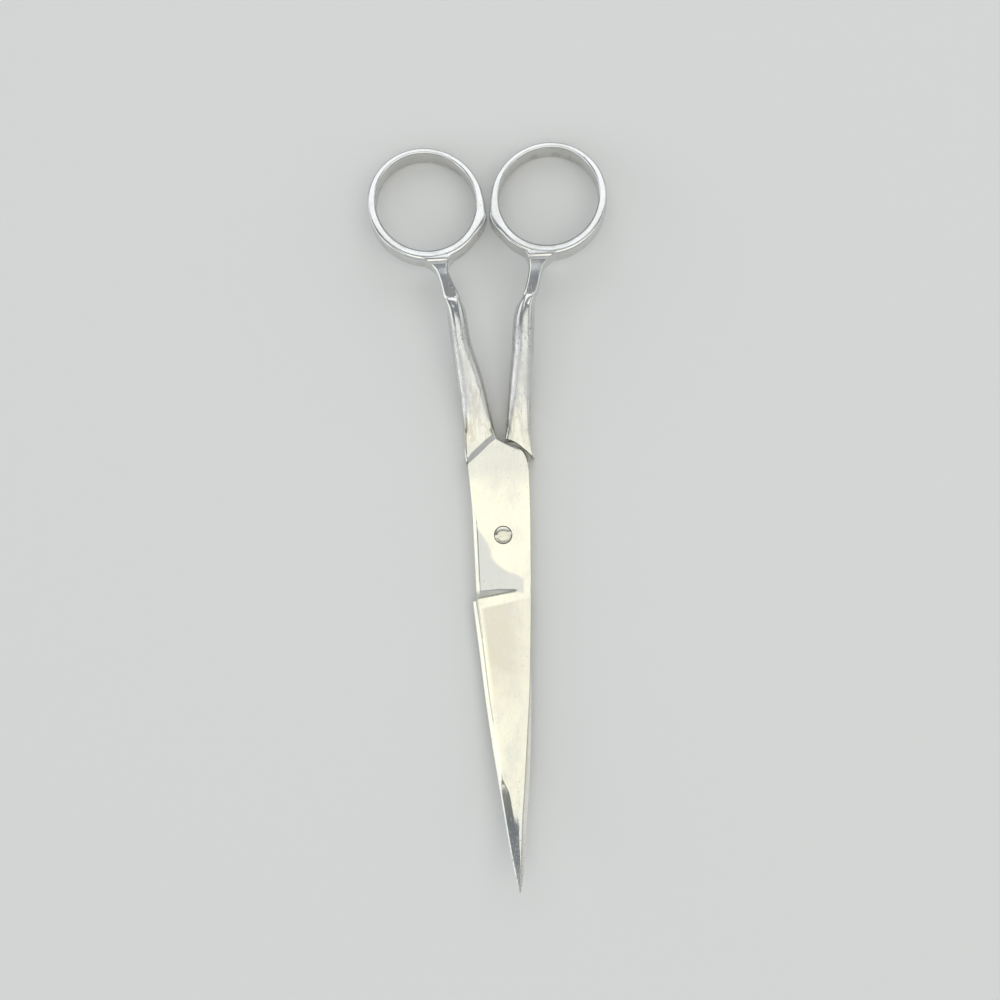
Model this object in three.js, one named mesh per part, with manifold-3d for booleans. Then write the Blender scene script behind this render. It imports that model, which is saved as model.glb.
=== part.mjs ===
// Double-curved embroidery scissors, closed and lying on a table.
// Millimetres, +Z up. The origin is on the pivot axis at table height, +Y runs towards the finger
// rings and the blade tips point along -Y. Two forged halves turn on one slotted pivot screw.
//
// Each half is drawn straight and flat first, then bent along one side profile, as the maker bends
// the forging: the blades sweep up to the tips, the shanks climb and the finger rings dip again.
// Flat drawing axes: u across the half, towards its blade's spine; s along it, towards the rings;
// w away from the face on which the two halves meet.

import * as THREE from 'three';
import { mergeVertices } from 'three/addons/utils/BufferGeometryUtils.js';
import Module from 'manifold-3d';

const wasm = await Module();
wasm.setup();

// Joint
const plateThickness = 2.1;        // one half at the joint
const faceGap = 0.14;              // play between the two ground inner faces
const plateChamfer = 0.8;          // along the outer edge of the joint, edge side
const plateChamferDepth = 0.62;
const leastChamfer = 0.08;         // share of the chamfer left beyond its start
const breakShare = 0.1;            // widest broken edge, as a share of the width
const chamferStart = 14;           // it widens from nothing here
const chamferFull = 2;
const edgeBreak = 0.15;            // small break along the spine
const jointEdgeWidth = 5.95;       // pivot to the edge side of the joint
const jointSpineWidth = 5.7;       // pivot to the spine side of the joint
const jointFlare = 0.53;           // how much wider the edge side is at the bolster
const jointCornerWidth = 5.96;     // pivot to the spine side at the rounded corner
const cornerStart = 12.9;          // where the joint's rounded corner begins
const cornerTop = 19.75;
const cornerBreak = 0.35;          // broken edge round the corner
const plateRoot = 3.2;             // the plate runs this far across where it ends in the shank
const lowerCornerEnd = 0.86;       // share of the corner on the lower joint, hidden by the upper
const flushGap = 0.08;             // the lower joint lies this far inside the upper one's spine
const shoulderStep = 0.7;          // the shanks stand this much above the joint

// Pivot screw
const screwRadius = 1.3;
const screwHeadRadius = 1.9;
const screwHeadRim = 0.25;         // straight rim under the dome
const screwDome = 0.34;            // crown above the rim
const screwTip = 0.15;             // bevel at the threaded end
const slotWidth = 0.6;
const slotDepth = 0.55;
const slotTurn = THREE.MathUtils.degToRad(12);
const runningClearance = 0.08;     // screw in the upper half
const threadClearance = 0.04;      // screw in the lower half
const seatClearance = 0.1;         // screw head in its seat

// Blades
const bladeTip = -71;
const bladeHeel = -12.9;
const heelStep = 0.9;              // the cutting edge stands out past the joint by this much
const lowerHeelWidth = 5.1;        // pivot line to the lower half's cutting edge at the heel
const spineHeelWidth = 5.12;       // pivot line to the spine at the heel
const tipHalfWidth = 0.1;
const spineAtJoint = 2.1;          // blade thickness at the spine, by the joint
const spineAtTip = 0.75;
const bevelAtHeel = 1.2;           // blade thickness at the top of the cutting bevel
const bevelAtTip = 0.62;
const edgeLand = 0.09;
const hollowGrind = 0.1;           // depth of the hollow inner face
const spineTaper = 1.2;            // the spine thins slowly at first, by this power
const spineStrip = 1.35;           // unground strip beside the spine
const spineStripAtTip = 0.2;
const stripShare = 0.14;           // widest strip, as a share of the blade's width
const bevelRise = 0.25;            // the bevel's inner end rises this much per share of width
const bevelShareAtHeel = 0.1;
const leastFacet = 0.02;           // narrowest facet left beside another
const hollowFullWidth = 4;         // the hollow is full where the blade is this wide
const heelHeight = 1.2;            // of the ground face above the meeting plane, by the cutting bevel
const notchUpper = -10.94;         // top lip of the ground shoulder, at the edge side
const notchMiddle = -10.75;
const notchEnd = -11.54;           // where the shoulder runs out at the spine strip
const notchLength = 2.16;
const notchCurve = 1.6;            // how the wheel's hollow rises to its lip, as a power
const notchEdgeBreak = 0.1;        // narrow chamfer down the shoulder's edge side
const notchEdgeDepth = 0.3;

// Shanks, necks and rings
const shankDown = 2.1;             // mating face to the underside, by the joint
const shankStart = 11;
const rootDrop = 0.25;             // edge drop under the shanks, by the joint
const neckHalfHeight = 1.6;
const ringCentreAcross = 12.5;
const ringCentreAlong = 68.55;
const ringLong = 11.5;             // half length of the ring's centre line
const ringShort = 10.85;           // half width of the ring's centre line
const ringTurn = THREE.MathUtils.degToRad(26);
const ringHalfHeight = 2.2;
const ringBand = 1.75;             // band thickness at the ring's sides
const ringBandChange = 0.4;        // thicker by the neck and thinner at the far end
const stopGap = 0.4;               // left between the two closing stops
const stopAlong = 65.3;
const stopWidth = 4.2;             // half length of the stop's foot along the ring
const stopCurve = 1.3;             // power that hollows the stop's flanks

// Side profile
const liftStart = 20;              // the blades are flat to this radius
const liftRadius = 208;            // then sweep up on this radius
const bendStart = 18;              // the shanks start to climb
const climbLength = 12;
const climbRun = 8;                // straight part at the full climb
const dipLength = 16;
const ringDip = THREE.MathUtils.degToRad(11);

// Facets
const stationStep = 2.4;
const ringSteps = 72;
const roundSteps = 48;
const shankRounding = 0.22;        // share of each side of a section that its corners take
const ringRounding = 0.24;
const past = 1;                    // how far a drill runs past the faces it cuts

const midHeight = plateThickness;  // height of the face on which the halves meet
const innerFace = faceGap / 2;

// A smooth function through rows of [position, value], with no overshoot between them.
function through(rows) {
  const count = rows.length;
  const chord = [];
  for (let i = 0; i < count - 1; i += 1) {
    chord.push((rows[i + 1][1] - rows[i][1]) / (rows[i + 1][0] - rows[i][0]));
  }
  const slope = rows.map((row, i) => {
    if (i === 0) return chord[0];
    if (i === count - 1) return chord[count - 2];
    const product = chord[i - 1] * chord[i];
    return product <= 0 ? 0 : (2 * product) / (chord[i - 1] + chord[i]);
  });
  return (position) => {
    if (position <= rows[0][0]) return rows[0][1];
    if (position >= rows[count - 1][0]) return rows[count - 1][1];
    let i = 0;
    while (rows[i + 1][0] < position) i += 1;
    const span = rows[i + 1][0] - rows[i][0];
    const t = (position - rows[i][0]) / span;
    const a = rows[i][1];
    const b = rows[i + 1][1];
    return a + (b - a) * (3 * t * t - 2 * t * t * t)
      + span * (slope[i] * t * (1 - t) * (1 - t) - slope[i + 1] * t * t * (1 - t));
  };
}

function mix(a, b, share) {
  return a + (b - a) * share;
}

// Side profile: height above the flat forging and tilt of its centre line.
// The shanks follow an arc up, a straight run, an arc down, and the rings lie straight.
function shankProfile(climb) {
  const parts = [
    { length: bendStart, turn: 0 },
    { length: climbLength, turn: climb },
    { length: climbRun, turn: 0 },
    { length: dipLength, turn: -climb - ringDip },
  ];
  return (s) => {
    let y = 0;
    let z = 0;
    let tilt = 0;
    let left = s;
    for (const part of parts) {
      const run = Math.min(left, part.length);
      const turn = part.turn * (run / part.length);
      if (turn === 0) {
        y += run * Math.cos(tilt);
        z += run * Math.sin(tilt);
      } else {
        const radius = run / turn;
        y += radius * (Math.sin(tilt + turn) - Math.sin(tilt));
        z += radius * (Math.cos(tilt) - Math.cos(tilt + turn));
      }
      tilt += turn;
      left -= run;
      if (left <= 0) return { y, z, tilt };
    }
    return { y: y + left * Math.cos(tilt), z: z + left * Math.sin(tilt), tilt };
  };
}

// The climb is the one that brings the far ends of the rings back down to the table.
const ringReach = Math.hypot(ringLong * Math.cos(ringTurn), ringShort * Math.sin(ringTurn));
const ringFarEnd = ringCentreAlong + ringReach + (ringBand - ringBandChange) / 4;

function solveClimb() {
  let low = 0;
  let high = Math.PI / 3;
  for (let i = 0; i < 40; i += 1) {
    const climb = (low + high) / 2;
    const end = shankProfile(climb)(ringFarEnd);
    const underside = midHeight + end.z - ringHalfHeight * Math.cos(end.tilt);
    if (underside < 0) low = climb;
    else high = climb;
  }
  return high;
}

const profile = shankProfile(solveClimb());

function lift(radius) {
  return radius > liftStart ? ((radius - liftStart) ** 2) / (2 * liftRadius) : 0;
}

function liftSlope(radius) {
  return radius > liftStart ? Math.atan((radius - liftStart) / liftRadius) : 0;
}

// Bends a flat point (x, s, h above the meeting face) to its place on the finished scissors.
// The blades bend as surfaces of revolution about the pivot, so they never bind as they turn.
function bendPoint(x, s, h) {
  if (s <= 0) {
    const radius = Math.hypot(x, s);
    const slope = liftSlope(radius);
    const back = radius > 0 ? (h * Math.sin(slope)) / radius : 0;
    return [x * (1 - back), s * (1 - back), midHeight + lift(radius) + h * Math.cos(slope)];
  }
  const { y, z, tilt } = profile(s);
  return [x, y - h * Math.sin(tilt), midHeight + z + h * Math.cos(tilt)];
}

function bend(geometry) {
  const position = geometry.attributes.position;
  for (let i = 0; i < position.count; i += 1) {
    const place = bendPoint(position.getX(i), position.getY(i), position.getZ(i));
    position.setXYZ(i, ...place);
  }
  return geometry;
}

// Solids
function toSolid(geometry) {
  const bare = geometry.clone();
  bare.deleteAttribute('normal');
  bare.deleteAttribute('uv');
  const merged = mergeVertices(bare, 1e-5);
  const vertProperties = Float32Array.from(merged.attributes.position.array);
  const triVerts = Uint32Array.from(merged.index.array);
  let volume = 0;
  const at = (k) => new THREE.Vector3().fromArray(vertProperties, 3 * triVerts[k]);
  for (let k = 0; k < triVerts.length; k += 3) {
    volume += at(k).dot(at(k + 1).cross(at(k + 2)));
  }
  if (volume < 0) {
    for (let k = 0; k < triVerts.length; k += 3) {
      [triVerts[k], triVerts[k + 1]] = [triVerts[k + 1], triVerts[k]];
    }
  }
  return new wasm.Manifold(new wasm.Mesh({ numProp: 3, vertProperties, triVerts }));
}

function toGeometry(solid) {
  const mesh = solid.getMesh();
  const geometry = new THREE.BufferGeometry();
  geometry.setAttribute('position', new THREE.BufferAttribute(Float32Array.from(mesh.vertProperties), 3));
  geometry.setIndex(new THREE.BufferAttribute(Uint32Array.from(mesh.triVerts), 1));
  return geometry;
}

// A closed skin over rings of points; every ring has as many points as the first. The end caps
// are cut into triangles as they look along the axis that capAxes leaves out.
function loft(rings, { closed = false, capAxes = [0, 2] } = {}) {
  const size = rings[0].length;
  const points = rings.flat().flat();
  const faces = [];
  const last = closed ? rings.length : rings.length - 1;
  for (let i = 0; i < last; i += 1) {
    const near = i * size;
    const far = ((i + 1) % rings.length) * size;
    for (let j = 0; j < size; j += 1) {
      const next = (j + 1) % size;
      faces.push(near + j, near + next, far + next, near + j, far + next, far + j);
    }
  }
  if (!closed) {
    for (const [start, flip] of [[0, true], [(rings.length - 1) * size, false]]) {
      const outline = rings[start / size].map((p) => new THREE.Vector2(...capAxes.map((axis) => p[axis])));
      const clockwise = THREE.ShapeUtils.isClockWise(outline);
      for (const [a, b, c] of THREE.ShapeUtils.triangulateShape(outline, [])) {
        if (flip !== clockwise) faces.push(start + c, start + b, start + a);
        else faces.push(start + a, start + b, start + c);
      }
    }
  }
  const geometry = new THREE.BufferGeometry();
  geometry.setAttribute('position', new THREE.Float32BufferAttribute(points, 3));
  geometry.setIndex(faces);
  return geometry;
}

// Rounds a section's corners by cutting each one off at a share of its sides.
function soften(points, share) {
  const rounded = [];
  points.forEach((point, i) => {
    const next = points[(i + 1) % points.length];
    rounded.push(point.map((value, axis) => mix(value, next[axis], share)));
    rounded.push(point.map((value, axis) => mix(value, next[axis], 1 - share)));
  });
  return rounded;
}

function stations(from, to, extra = []) {
  const count = Math.ceil((to - from) / stationStep);
  const places = [];
  for (let i = 0; i <= count; i += 1) places.push(mix(from, to, i / count));
  return [...places, ...extra].sort((a, b) => a - b);
}

// Blade and joint plate
// Rows of the blade run from its heel (share 0) to its tip (share 1), and give the place across
// it, from the cutting edge (negative u) to the spine (positive u).
function bladeLine(rows) {
  const line = through(rows);
  return (s) => line((s - bladeHeel) / (bladeTip - bladeHeel));
}

const upperEdgeLine = bladeLine([
  [0, -jointEdgeWidth - heelStep], [0.1, -6.37], [0.23, -5.74], [0.36, -5.12], [0.5, -4.28],
  [0.6, -3.58], [0.74, -2.56], [0.86, -1.65], [0.96, -0.68], [1, -tipHalfWidth],
]);
const lowerEdgeLine = bladeLine([
  [0, -lowerHeelWidth], [0.15, -4.6], [0.32, -4.26], [0.46, -3.76], [0.55, -3.39],
  [0.66, -2.78], [0.76, -2.09], [0.86, -1.47], [0.97, -0.51], [1, -tipHalfWidth],
]);
const spineLine = bladeLine([
  [0, spineHeelWidth], [0.15, 4.61], [0.32, 3.95], [0.42, 3.36], [0.55, 2.59],
  [0.66, 1.92], [0.76, 1.24], [0.86, 0.74], [0.91, 0.47], [1, 0.02],
]);
// Inner end of the cutting bevel, as a share of the blade's width.
const bevelShare = bladeLine([
  [0, 0.085], [0.16, 0.1], [0.31, 0.105], [0.47, 0.14], [0.61, 0.17], [0.68, 0.385],
  [0.72, 0.435], [0.79, 0.54], [0.85, 0.79], [0.91, 0.86], [1, 0.8],
]);

function bladeRing(s, edge) {
  const along = (s - bladeHeel) / (bladeTip - bladeHeel);
  const left = edge(s);
  const right = spineLine(s);
  const width = right - left;
  const spine = mix(spineAtJoint, spineAtTip, along ** spineTaper);
  const bevelGain = bevelRise * (bevelShare(s) - bevelShareAtHeel);
  const bevel = Math.min(mix(bevelAtHeel, bevelAtTip, along) + bevelGain, spine - leastFacet);
  const strip = Math.min(mix(spineStrip, 0, along) + spineStripAtTip, width * stripShare);
  const chamfer = Math.min(edgeBreak, width * breakShare);
  const bevelEnd = left + width * bevelShare(s);
  const stripStart = Math.max(right - strip - chamfer, bevelEnd + width * leastFacet);
  const hollow = hollowGrind * Math.min(1, width / hollowFullWidth);
  return [
    [left, s, innerFace],
    [left + leastFacet, s, innerFace + edgeLand],
    [bevelEnd, s, bevel],
    [mix(bevelEnd, stripStart, 0.5), s, mix(bevel, spine, 0.5)],
    [mix(bevelEnd, stripStart, 0.8), s, mix(bevel, spine, 0.8)],
    [stripStart, s, spine],
    [Math.max(right - chamfer, stripStart + width * leastFacet), s, spine],
    [right, s, spine - chamfer],
    [right, s, innerFace],
    [mix(right, left, 0.25), s, innerFace + hollow * 0.75],
    [mix(right, left, 0.5), s, innerFace + hollow],
    [mix(right, left, 0.75), s, innerFace + hollow * 0.75],
  ];
}

// The ground shoulder between the joint plate and the blade is hollow, as a wheel cuts it. It is
// deepest at the edge side and runs out in a point at the spine strip.
const notchLip = through([[0, notchEnd], [0.5, notchMiddle], [1, notchUpper]]);
const notchWidth = through([[0, 0], [0.16, 0.94], [0.48, 1.95], [1, notchLength]]);

function notchPoint(u, depthShare, rise) {
  const ground = mix(plateThickness, heelHeight, depthShare);
  const s = notchLip(depthShare) - notchWidth(depthShare) * (1 - rise);
  return [u, s, mix(ground, plateThickness, rise ** notchCurve)];
}

function notchRings(edgeSide) {
  const stripStart = spineLine(bladeHeel) - spineStrip;
  const left = -edgeSide;
  const right = spineLine(bladeHeel);
  return [0, 0.35, 0.65, 0.85, 1].map((rise) => {
    const edge = notchPoint(left, 1, rise);
    const face = notchPoint(left + mix(notchEdgeBreak, plateChamfer, rise), 1, rise);
    return [
      [left, edge[1], innerFace],
      [left, edge[1], edge[2] - mix(notchEdgeDepth, plateChamferDepth, rise)],
      face,
      notchPoint(mix(left, stripStart, 0.5), 0.5, rise),
      notchPoint(mix(left, stripStart, 0.8), 0.2, rise),
      [stripStart, notchEnd, plateThickness],
      [right - edgeBreak, notchEnd, plateThickness],
      [right, notchEnd, plateThickness - edgeBreak],
      [right, notchEnd, innerFace],
      [mix(right, left, 0.25), mix(notchEnd, edge[1], 0.3), innerFace],
      [mix(right, left, 0.5), mix(notchEnd, edge[1], 0.6), innerFace],
      [mix(right, left, 0.75), mix(notchEnd, edge[1], 0.9), innerFace],
    ];
  });
}

// The joint plate's corner beyond the joint follows the other half's shoulder.
const cornerLine = through([
  [cornerStart, jointCornerWidth], [14.3, 5.95], [15.25, 5.78], [16.15, 5.42], [17, 4.87], [17.5, 4.2],
  [17.87, 3.24], [18.3, 2.25], [18.75, 1.26], [19.25, 0.4], [cornerTop, -0.41],
]);
const plateSpineLine = through([
  [notchUpper, jointSpineWidth - 0.45], [-3.3, jointSpineWidth - 0.2], [4, jointSpineWidth + 0.1],
  [cornerStart, jointCornerWidth],
]);
const cornerEdge = -jointEdgeWidth - 0.8 * jointFlare;
const upperPlateEdge = through([
  [notchUpper, -jointEdgeWidth], [3, -jointEdgeWidth], [8.6, -jointEdgeWidth - 0.35 * jointFlare],
  [cornerStart, cornerEdge], [chamferStart + 0.5, -jointEdgeWidth - jointFlare], [cornerTop, -plateRoot],
]);
const lowerPlateRoot = through([
  [cornerStart, flushGap - jointCornerWidth], [chamferStart + 2, cornerEdge], [cornerTop, -plateRoot],
]);

// The lower joint's edge side keeps just inside the spine side of the upper one.
function lowerPlateEdge(s) {
  return s < cornerStart ? flushGap - plateSpineLine(s) : lowerPlateRoot(s);
}

function plateRing(s, plateEdge) {
  const left = plateEdge(s);
  const right = s > cornerStart ? cornerLine(s) : plateSpineLine(s);
  const share = THREE.MathUtils.clamp((chamferStart - s) / (chamferStart - chamferFull), leastChamfer, 1);
  const chamfer = plateChamfer * share;
  const depth = plateChamferDepth * share;
  const corner = THREE.MathUtils.clamp(s - cornerStart, 0, 1);
  const breakWidth = Math.min(mix(edgeBreak, cornerBreak, corner), (right - left) * breakShare);
  return [
    [left, s, innerFace],
    [left, s, plateThickness - depth],
    [left + chamfer, s, plateThickness],
    [mix(left, right, 0.35), s, plateThickness],
    [mix(left, right, 0.6), s, plateThickness],
    [mix(left, right, 0.8), s, plateThickness],
    [right - breakWidth, s, plateThickness],
    [right, s, plateThickness - breakWidth],
    [right, s, innerFace],
    [mix(right, left, 0.25), s, innerFace],
    [mix(right, left, 0.5), s, innerFace],
    [mix(right, left, 0.75), s, innerFace],
  ];
}

function bladeAndPlate(edge, plateEdge, cornerEnd) {
  const nearTip = [0.5, 1.3].map((back) => bladeTip + back);
  const blade = stations(bladeTip, bladeHeel - 0.4, nearTip).map((s) => bladeRing(s, edge));
  const joint = [-7.5, -4, 0, 4, 8, 11].map((s) => plateRing(s, plateEdge));
  const cornerShares = [0, 0.2, 0.33, 0.45, 0.57, 0.635, 0.685, 0.75, 0.82, 0.9, 1];
  const cornerLength = (cornerTop - cornerStart) * cornerEnd;
  const corner = cornerShares.map((share) => plateRing(cornerStart + cornerLength * share, plateEdge));
  return loft([...blade, ...notchRings(-plateEdge(notchUpper)), ...joint, ...corner]);
}

// Shank and neck
// Rows of the shank run from the joint's corner (share 0) to the near side of the ring (share 1).
const neckEnd = ringCentreAlong - ringReach;

function shankLine(rows) {
  const line = through(rows);
  return (s) => line((s - cornerTop) / (neckEnd - cornerTop));
}

// Outer and inner edges of the shank, across from the pivot line, for each half.
const upperShank = {
  outer: shankLine([
    [-0.2, 6.3], [-0.135, 6.7], [-0.12, 6.98], [-0.09, 7.12], [0.01, 7.05], [0.11, 7.16], [0.22, 7.48], [0.33, 7.94],
    [0.44, 8.35], [0.54, 8.74], [0.65, 9.09], [0.76, 9.62], [0.83, 10.12], [0.88, 10.49], [0.93, 11.3], [0.95, 12.02],
    [0.97, 13.13], [0.98, 13.75], [1, 14.6],
  ]),
  inner: shankLine([
    [-0.23, -1], [-0.1, -0.6], [0, 0.39], [0.09, 0.97], [0.17, 1.47], [0.29, 2.26], [0.4, 3.17],
    [0.54, 4.64], [0.64, 5.01], [0.71, 5.39], [0.76, 6.2], [0.82, 7.11], [0.88, 8.13], [0.93, 8.61],
    [0.96, 8.35], [0.98, 7.9], [0.99, 7.55], [1, 7.2],
  ]),
};
const lowerShank = {
  outer: shankLine([
    [-0.23, 7.39], [-0.12, 7.2], [-0.06, 6.8], [0.03, 6.6], [0.14, 6.84], [0.31, 7.38], [0.48, 7.99],
    [0.64, 8.41], [0.74, 8.73], [0.81, 9.62], [0.88, 10.22], [0.93, 11.1], [0.95, 11.82], [0.97, 12.93],
    [0.98, 13.55], [1, 14.4],
  ]),
  inner: shankLine([
    [-0.23, -1], [-0.1, -0.6], [-0.02, 1.3], [0.04, 1.59], [0.15, 1.92], [0.26, 2.36], [0.37, 2.84],
    [0.48, 3.39], [0.59, 3.76], [0.66, 4.11], [0.71, 4.71], [0.77, 6.18], [0.82, 6.96], [0.9, 7.65],
    [0.94, 7.75], [0.965, 7.6], [0.98, 7.4], [1, 7],
  ]),
};
const shankUp = plateThickness + shoulderStep;
const shankTop = shankLine([
  [-0.03, shankUp], [0.06, shankUp - 0.2], [0.2, shankUp - 0.15], [0.38, 2.55], [0.6, 2.5], [0.74, 2.35],
  [0.78, neckHalfHeight], [0.93, neckHalfHeight], [0.96, ringHalfHeight], [1, ringHalfHeight],
]);
const shankBottom = shankLine([
  [0.11, shankDown], [0.38, 2.3], [0.6, 2.4], [0.74, 2.3], [0.78, neckHalfHeight],
  [0.93, neckHalfHeight], [0.96, ringHalfHeight], [1, ringHalfHeight],
]);
// Width of the slanting flank between the flat top and each side.
const innerFlank = shankLine([
  [-0.23, 0.5], [0.06, 0.6], [0.17, 1.25], [0.43, 1.5], [0.65, 1.75], [0.74, 1.3], [0.79, 0.45], [1, 0.4],
]);
const outerFlank = shankLine([
  [-0.23, 0.45], [0.06, 0.5], [0.27, 0.85], [0.49, 0.95], [0.65, 1.3], [0.74, 1.1], [0.79, 0.45], [1, 0.4],
]);
const flankDrop = shankLine([
  [-0.23, 0.3], [0.06, 0.5], [0.27, 1.1], [0.54, 1.3], [0.7, 1.25], [0.79, 0.4], [1, 0.4],
]);

function shankRing(s, outline, side) {
  const outer = outline.outer(s);
  const inner = outline.inner(s);
  const width = outer - inner;
  const top = shankTop(s);
  const bottom = -shankBottom(s);
  const nearIn = inner + Math.min(innerFlank(s), width * 0.42);
  const nearOut = outer - Math.min(outerFlank(s), width * 0.34);
  const drop = flankDrop(s);
  const lowDrop = s < bendStart + 4 ? rootDrop : drop;
  const section = [
    [inner, top - drop], [nearIn, top], [nearOut, top], [outer, top - drop],
    [outer, bottom + lowDrop], [nearOut, bottom], [nearIn, bottom], [inner, bottom + lowDrop],
  ];
  return soften(section, shankRounding).map(([across, height]) => [-side * across, s, height]);
}

function shank(outline, side) {
  const steps = [0.74, 0.76, 0.78, 0.8, 0.93, 0.945, 0.96];
  const extra = steps.map((share) => mix(cornerTop, neckEnd, share));
  const places = stations(shankStart, neckEnd, extra);
  return loft(places.map((s) => shankRing(s, outline, side)));
}

// Cutter for the pocket in which the other half's corner lies: everything on the pivot's side of
// a line in plan, over a range of heights. The line is given from the inner side outwards.
function behindLine(low, high, side) {
  const closing = [[low.line.at(-1)[0] + 4, 2], [-6, 2], [-6, low.line[0][1] + 1]];
  const ring = (line, height) => [...line, ...closing].map(([across, s]) => [-side * across, s, height]);
  const rings = [ring(low.line, low.height), ring(high.line, high.height)];
  return toSolid(loft(rings, { capAxes: [0, 1] }));
}

// The shoulder curves round the other half's corner at a small distance.
const shoulderLine = [
  [1.0, 19.82], [1.54, 19.55], [2.5, 19.2], [3.35, 18.76], [4.3, 18], [5.05, 17.27], [5.83, 16.57],
  [6.45, 15.92], [7.15, 14.97], [8.2, 13.57],
];
const bolsterFoot = [[-0.6, 20.9], [0.41, 19.72], [1.95, 18.6], [3.1, 17.5], [4.7, 16.1], [6.25, 14.85], [8, 14]];
const bolsterTop = [[-0.1, 22.2], [1.06, 21.2], [2.5, 19.85], [4.13, 18.2], [5.76, 16.75], [6.6, 15.45], [8.2, 14.3]];
const farOut = 12;                 // a height clear of everything

function shapedShank(outline, side) {
  const outward = side * plateThickness;
  let solid = toSolid(shank(outline, side));
  const pocket = behindLine(
    { line: shoulderLine, height: -side * farOut },
    { line: shoulderLine, height: side * innerFace },
    side,
  );
  const footLine = side > 0 ? bolsterFoot : shoulderLine;
  const foot = behindLine(
    { line: footLine, height: side * innerFace },
    { line: footLine, height: side > 0 ? outward : outward * 2 },
    side,
  );
  solid = solid.subtract(pocket).subtract(foot);
  if (side > 0) {
    const slope = behindLine(
      { line: bolsterFoot, height: outward - 0.001 },
      { line: bolsterTop, height: shankUp + 0.001 },
      side,
    );
    solid = solid.subtract(slope);
  }
  return solid;
}

// Finger ring, with the pointed closing stop on its inner side
function ringPoint(angle) {
  const along = ringLong * Math.cos(angle);
  const across = ringShort * Math.sin(angle);
  return new THREE.Vector2(
    ringCentreAcross + along * Math.sin(ringTurn) + across * Math.cos(ringTurn),
    ringCentreAlong + along * Math.cos(ringTurn) - across * Math.sin(ringTurn),
  );
}

function fingerRing(side) {
  const centre = new THREE.Vector2(ringCentreAcross, ringCentreAlong);
  const rings = [];
  for (let i = 0; i < ringSteps; i += 1) {
    const angle = (2 * Math.PI * i) / ringSteps;
    const middle = ringPoint(angle);
    const outward = middle.clone().sub(centre).normalize();
    const half = (ringBand - ringBandChange * outward.y) / 2;
    const outer = middle.clone().addScaledVector(outward, half);
    const inner = middle.clone().addScaledVector(outward, -half);
    if (outward.x < 0) {
      const reach = 1 - Math.abs(outer.y - stopAlong) / stopWidth;
      const share = THREE.MathUtils.clamp(reach, 0, 1) ** stopCurve;
      outer.x = mix(outer.x, stopGap / 2, share);
    }
    const section = [
      [inner, -0.72], [inner, 0.72], [middle.clone().lerp(inner, 0.55), 1], [middle.clone().lerp(outer, 0.55), 1],
      [outer, 0.76], [outer, -0.76], [middle.clone().lerp(outer, 0.55), -1], [middle.clone().lerp(inner, 0.55), -1],
    ].map(([place, share]) => [place.x, place.y, share * ringHalfHeight]);
    rings.push(soften(section, ringRounding).map(([across, s, height]) => [-side * across, s, height]));
  }
  return loft(rings, { closed: true });
}

function lathe(profilePoints) {
  const points = profilePoints.map(([radius, height]) => new THREE.Vector2(radius, height));
  const geometry = new THREE.LatheGeometry(points, roundSteps);
  geometry.rotateX(Math.PI / 2);
  return geometry;
}

// Pivot screw, standing in the finished part's own heights
const faceHeight = midHeight + plateThickness;
const headConeEnd = faceHeight - screwHeadRim - (screwHeadRadius - screwRadius);
const domeRadius = (screwHeadRadius ** 2 + screwDome ** 2) / (2 * screwDome);

function pivotScrew() {
  const outline = [
    [0, 0], [screwRadius - screwTip, 0], [screwRadius, screwTip], [screwRadius, headConeEnd],
    [screwHeadRadius, faceHeight - screwHeadRim], [screwHeadRadius, faceHeight],
  ];
  const domeSteps = 6;
  const domeAngle = Math.asin(screwHeadRadius / domeRadius);
  for (let i = 1; i <= domeSteps; i += 1) {
    const angle = domeAngle * (1 - i / domeSteps);
    const height = faceHeight + screwDome - domeRadius * (1 - Math.cos(angle));
    outline.push([i === domeSteps ? 0 : domeRadius * Math.sin(angle), height]);
  }
  const slot = new THREE.BoxGeometry(3 * screwHeadRadius, slotWidth, 2 * slotDepth);
  slot.rotateZ(slotTurn);
  slot.translate(0, 0, faceHeight + screwDome);
  return toGeometry(toSolid(lathe(outline)).subtract(toSolid(slot)));
}

function upperHole() {
  const hole = screwRadius + runningClearance;
  const seat = screwHeadRadius + seatClearance;
  const seatFloor = faceHeight - screwHeadRim - seatClearance;
  return toSolid(lathe([
    [0, midHeight - past], [hole, midHeight - past], [hole, seatFloor - (seat - hole)], [seat, seatFloor],
    [seat, faceHeight + past], [0, faceHeight + past],
  ]));
}

function lowerHole() {
  const hole = screwRadius + threadClearance;
  return toSolid(lathe([[0, -past], [hole, -past], [hole, midHeight + past], [0, midHeight + past]]));
}

// One half: side 1 is the upper half, side -1 the lower one, which is the upper one turned over
// about its length. The blade and plate turn over; the shank and ring keep their top upwards.
function half(side, edge, plateEdge, outline, hole) {
  const blade = bladeAndPlate(edge, plateEdge, side > 0 ? 1 : lowerCornerEnd);
  if (side < 0) blade.rotateY(Math.PI);
  const flat = toSolid(blade).add(shapedShank(outline, side)).add(toSolid(fingerRing(side)));
  const shaped = toSolid(bend(toGeometry(flat)));
  return toGeometry(shaped.subtract(hole));
}

function polished(colour, roughness) {
  return new THREE.MeshStandardMaterial({ color: colour, roughness, metalness: 1 });
}

function named(name, geometry, material) {
  const mesh = new THREE.Mesh(geometry, material);
  mesh.name = name;
  return mesh;
}

const upperHalf = half(1, upperEdgeLine, upperPlateEdge, upperShank, upperHole());
const lowerHalf = half(-1, lowerEdgeLine, lowerPlateEdge, lowerShank, lowerHole());

const scissors = new THREE.Group();
scissors.add(
  named('upper_half', upperHalf, polished(0xdcdcd6, 0.14)),
  named('lower_half', lowerHalf, polished(0xd9dad6, 0.16)),
  named('pivot_screw', pivotScrew(), polished(0xc9c9c4, 0.22)),
);

export default scissors;
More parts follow.
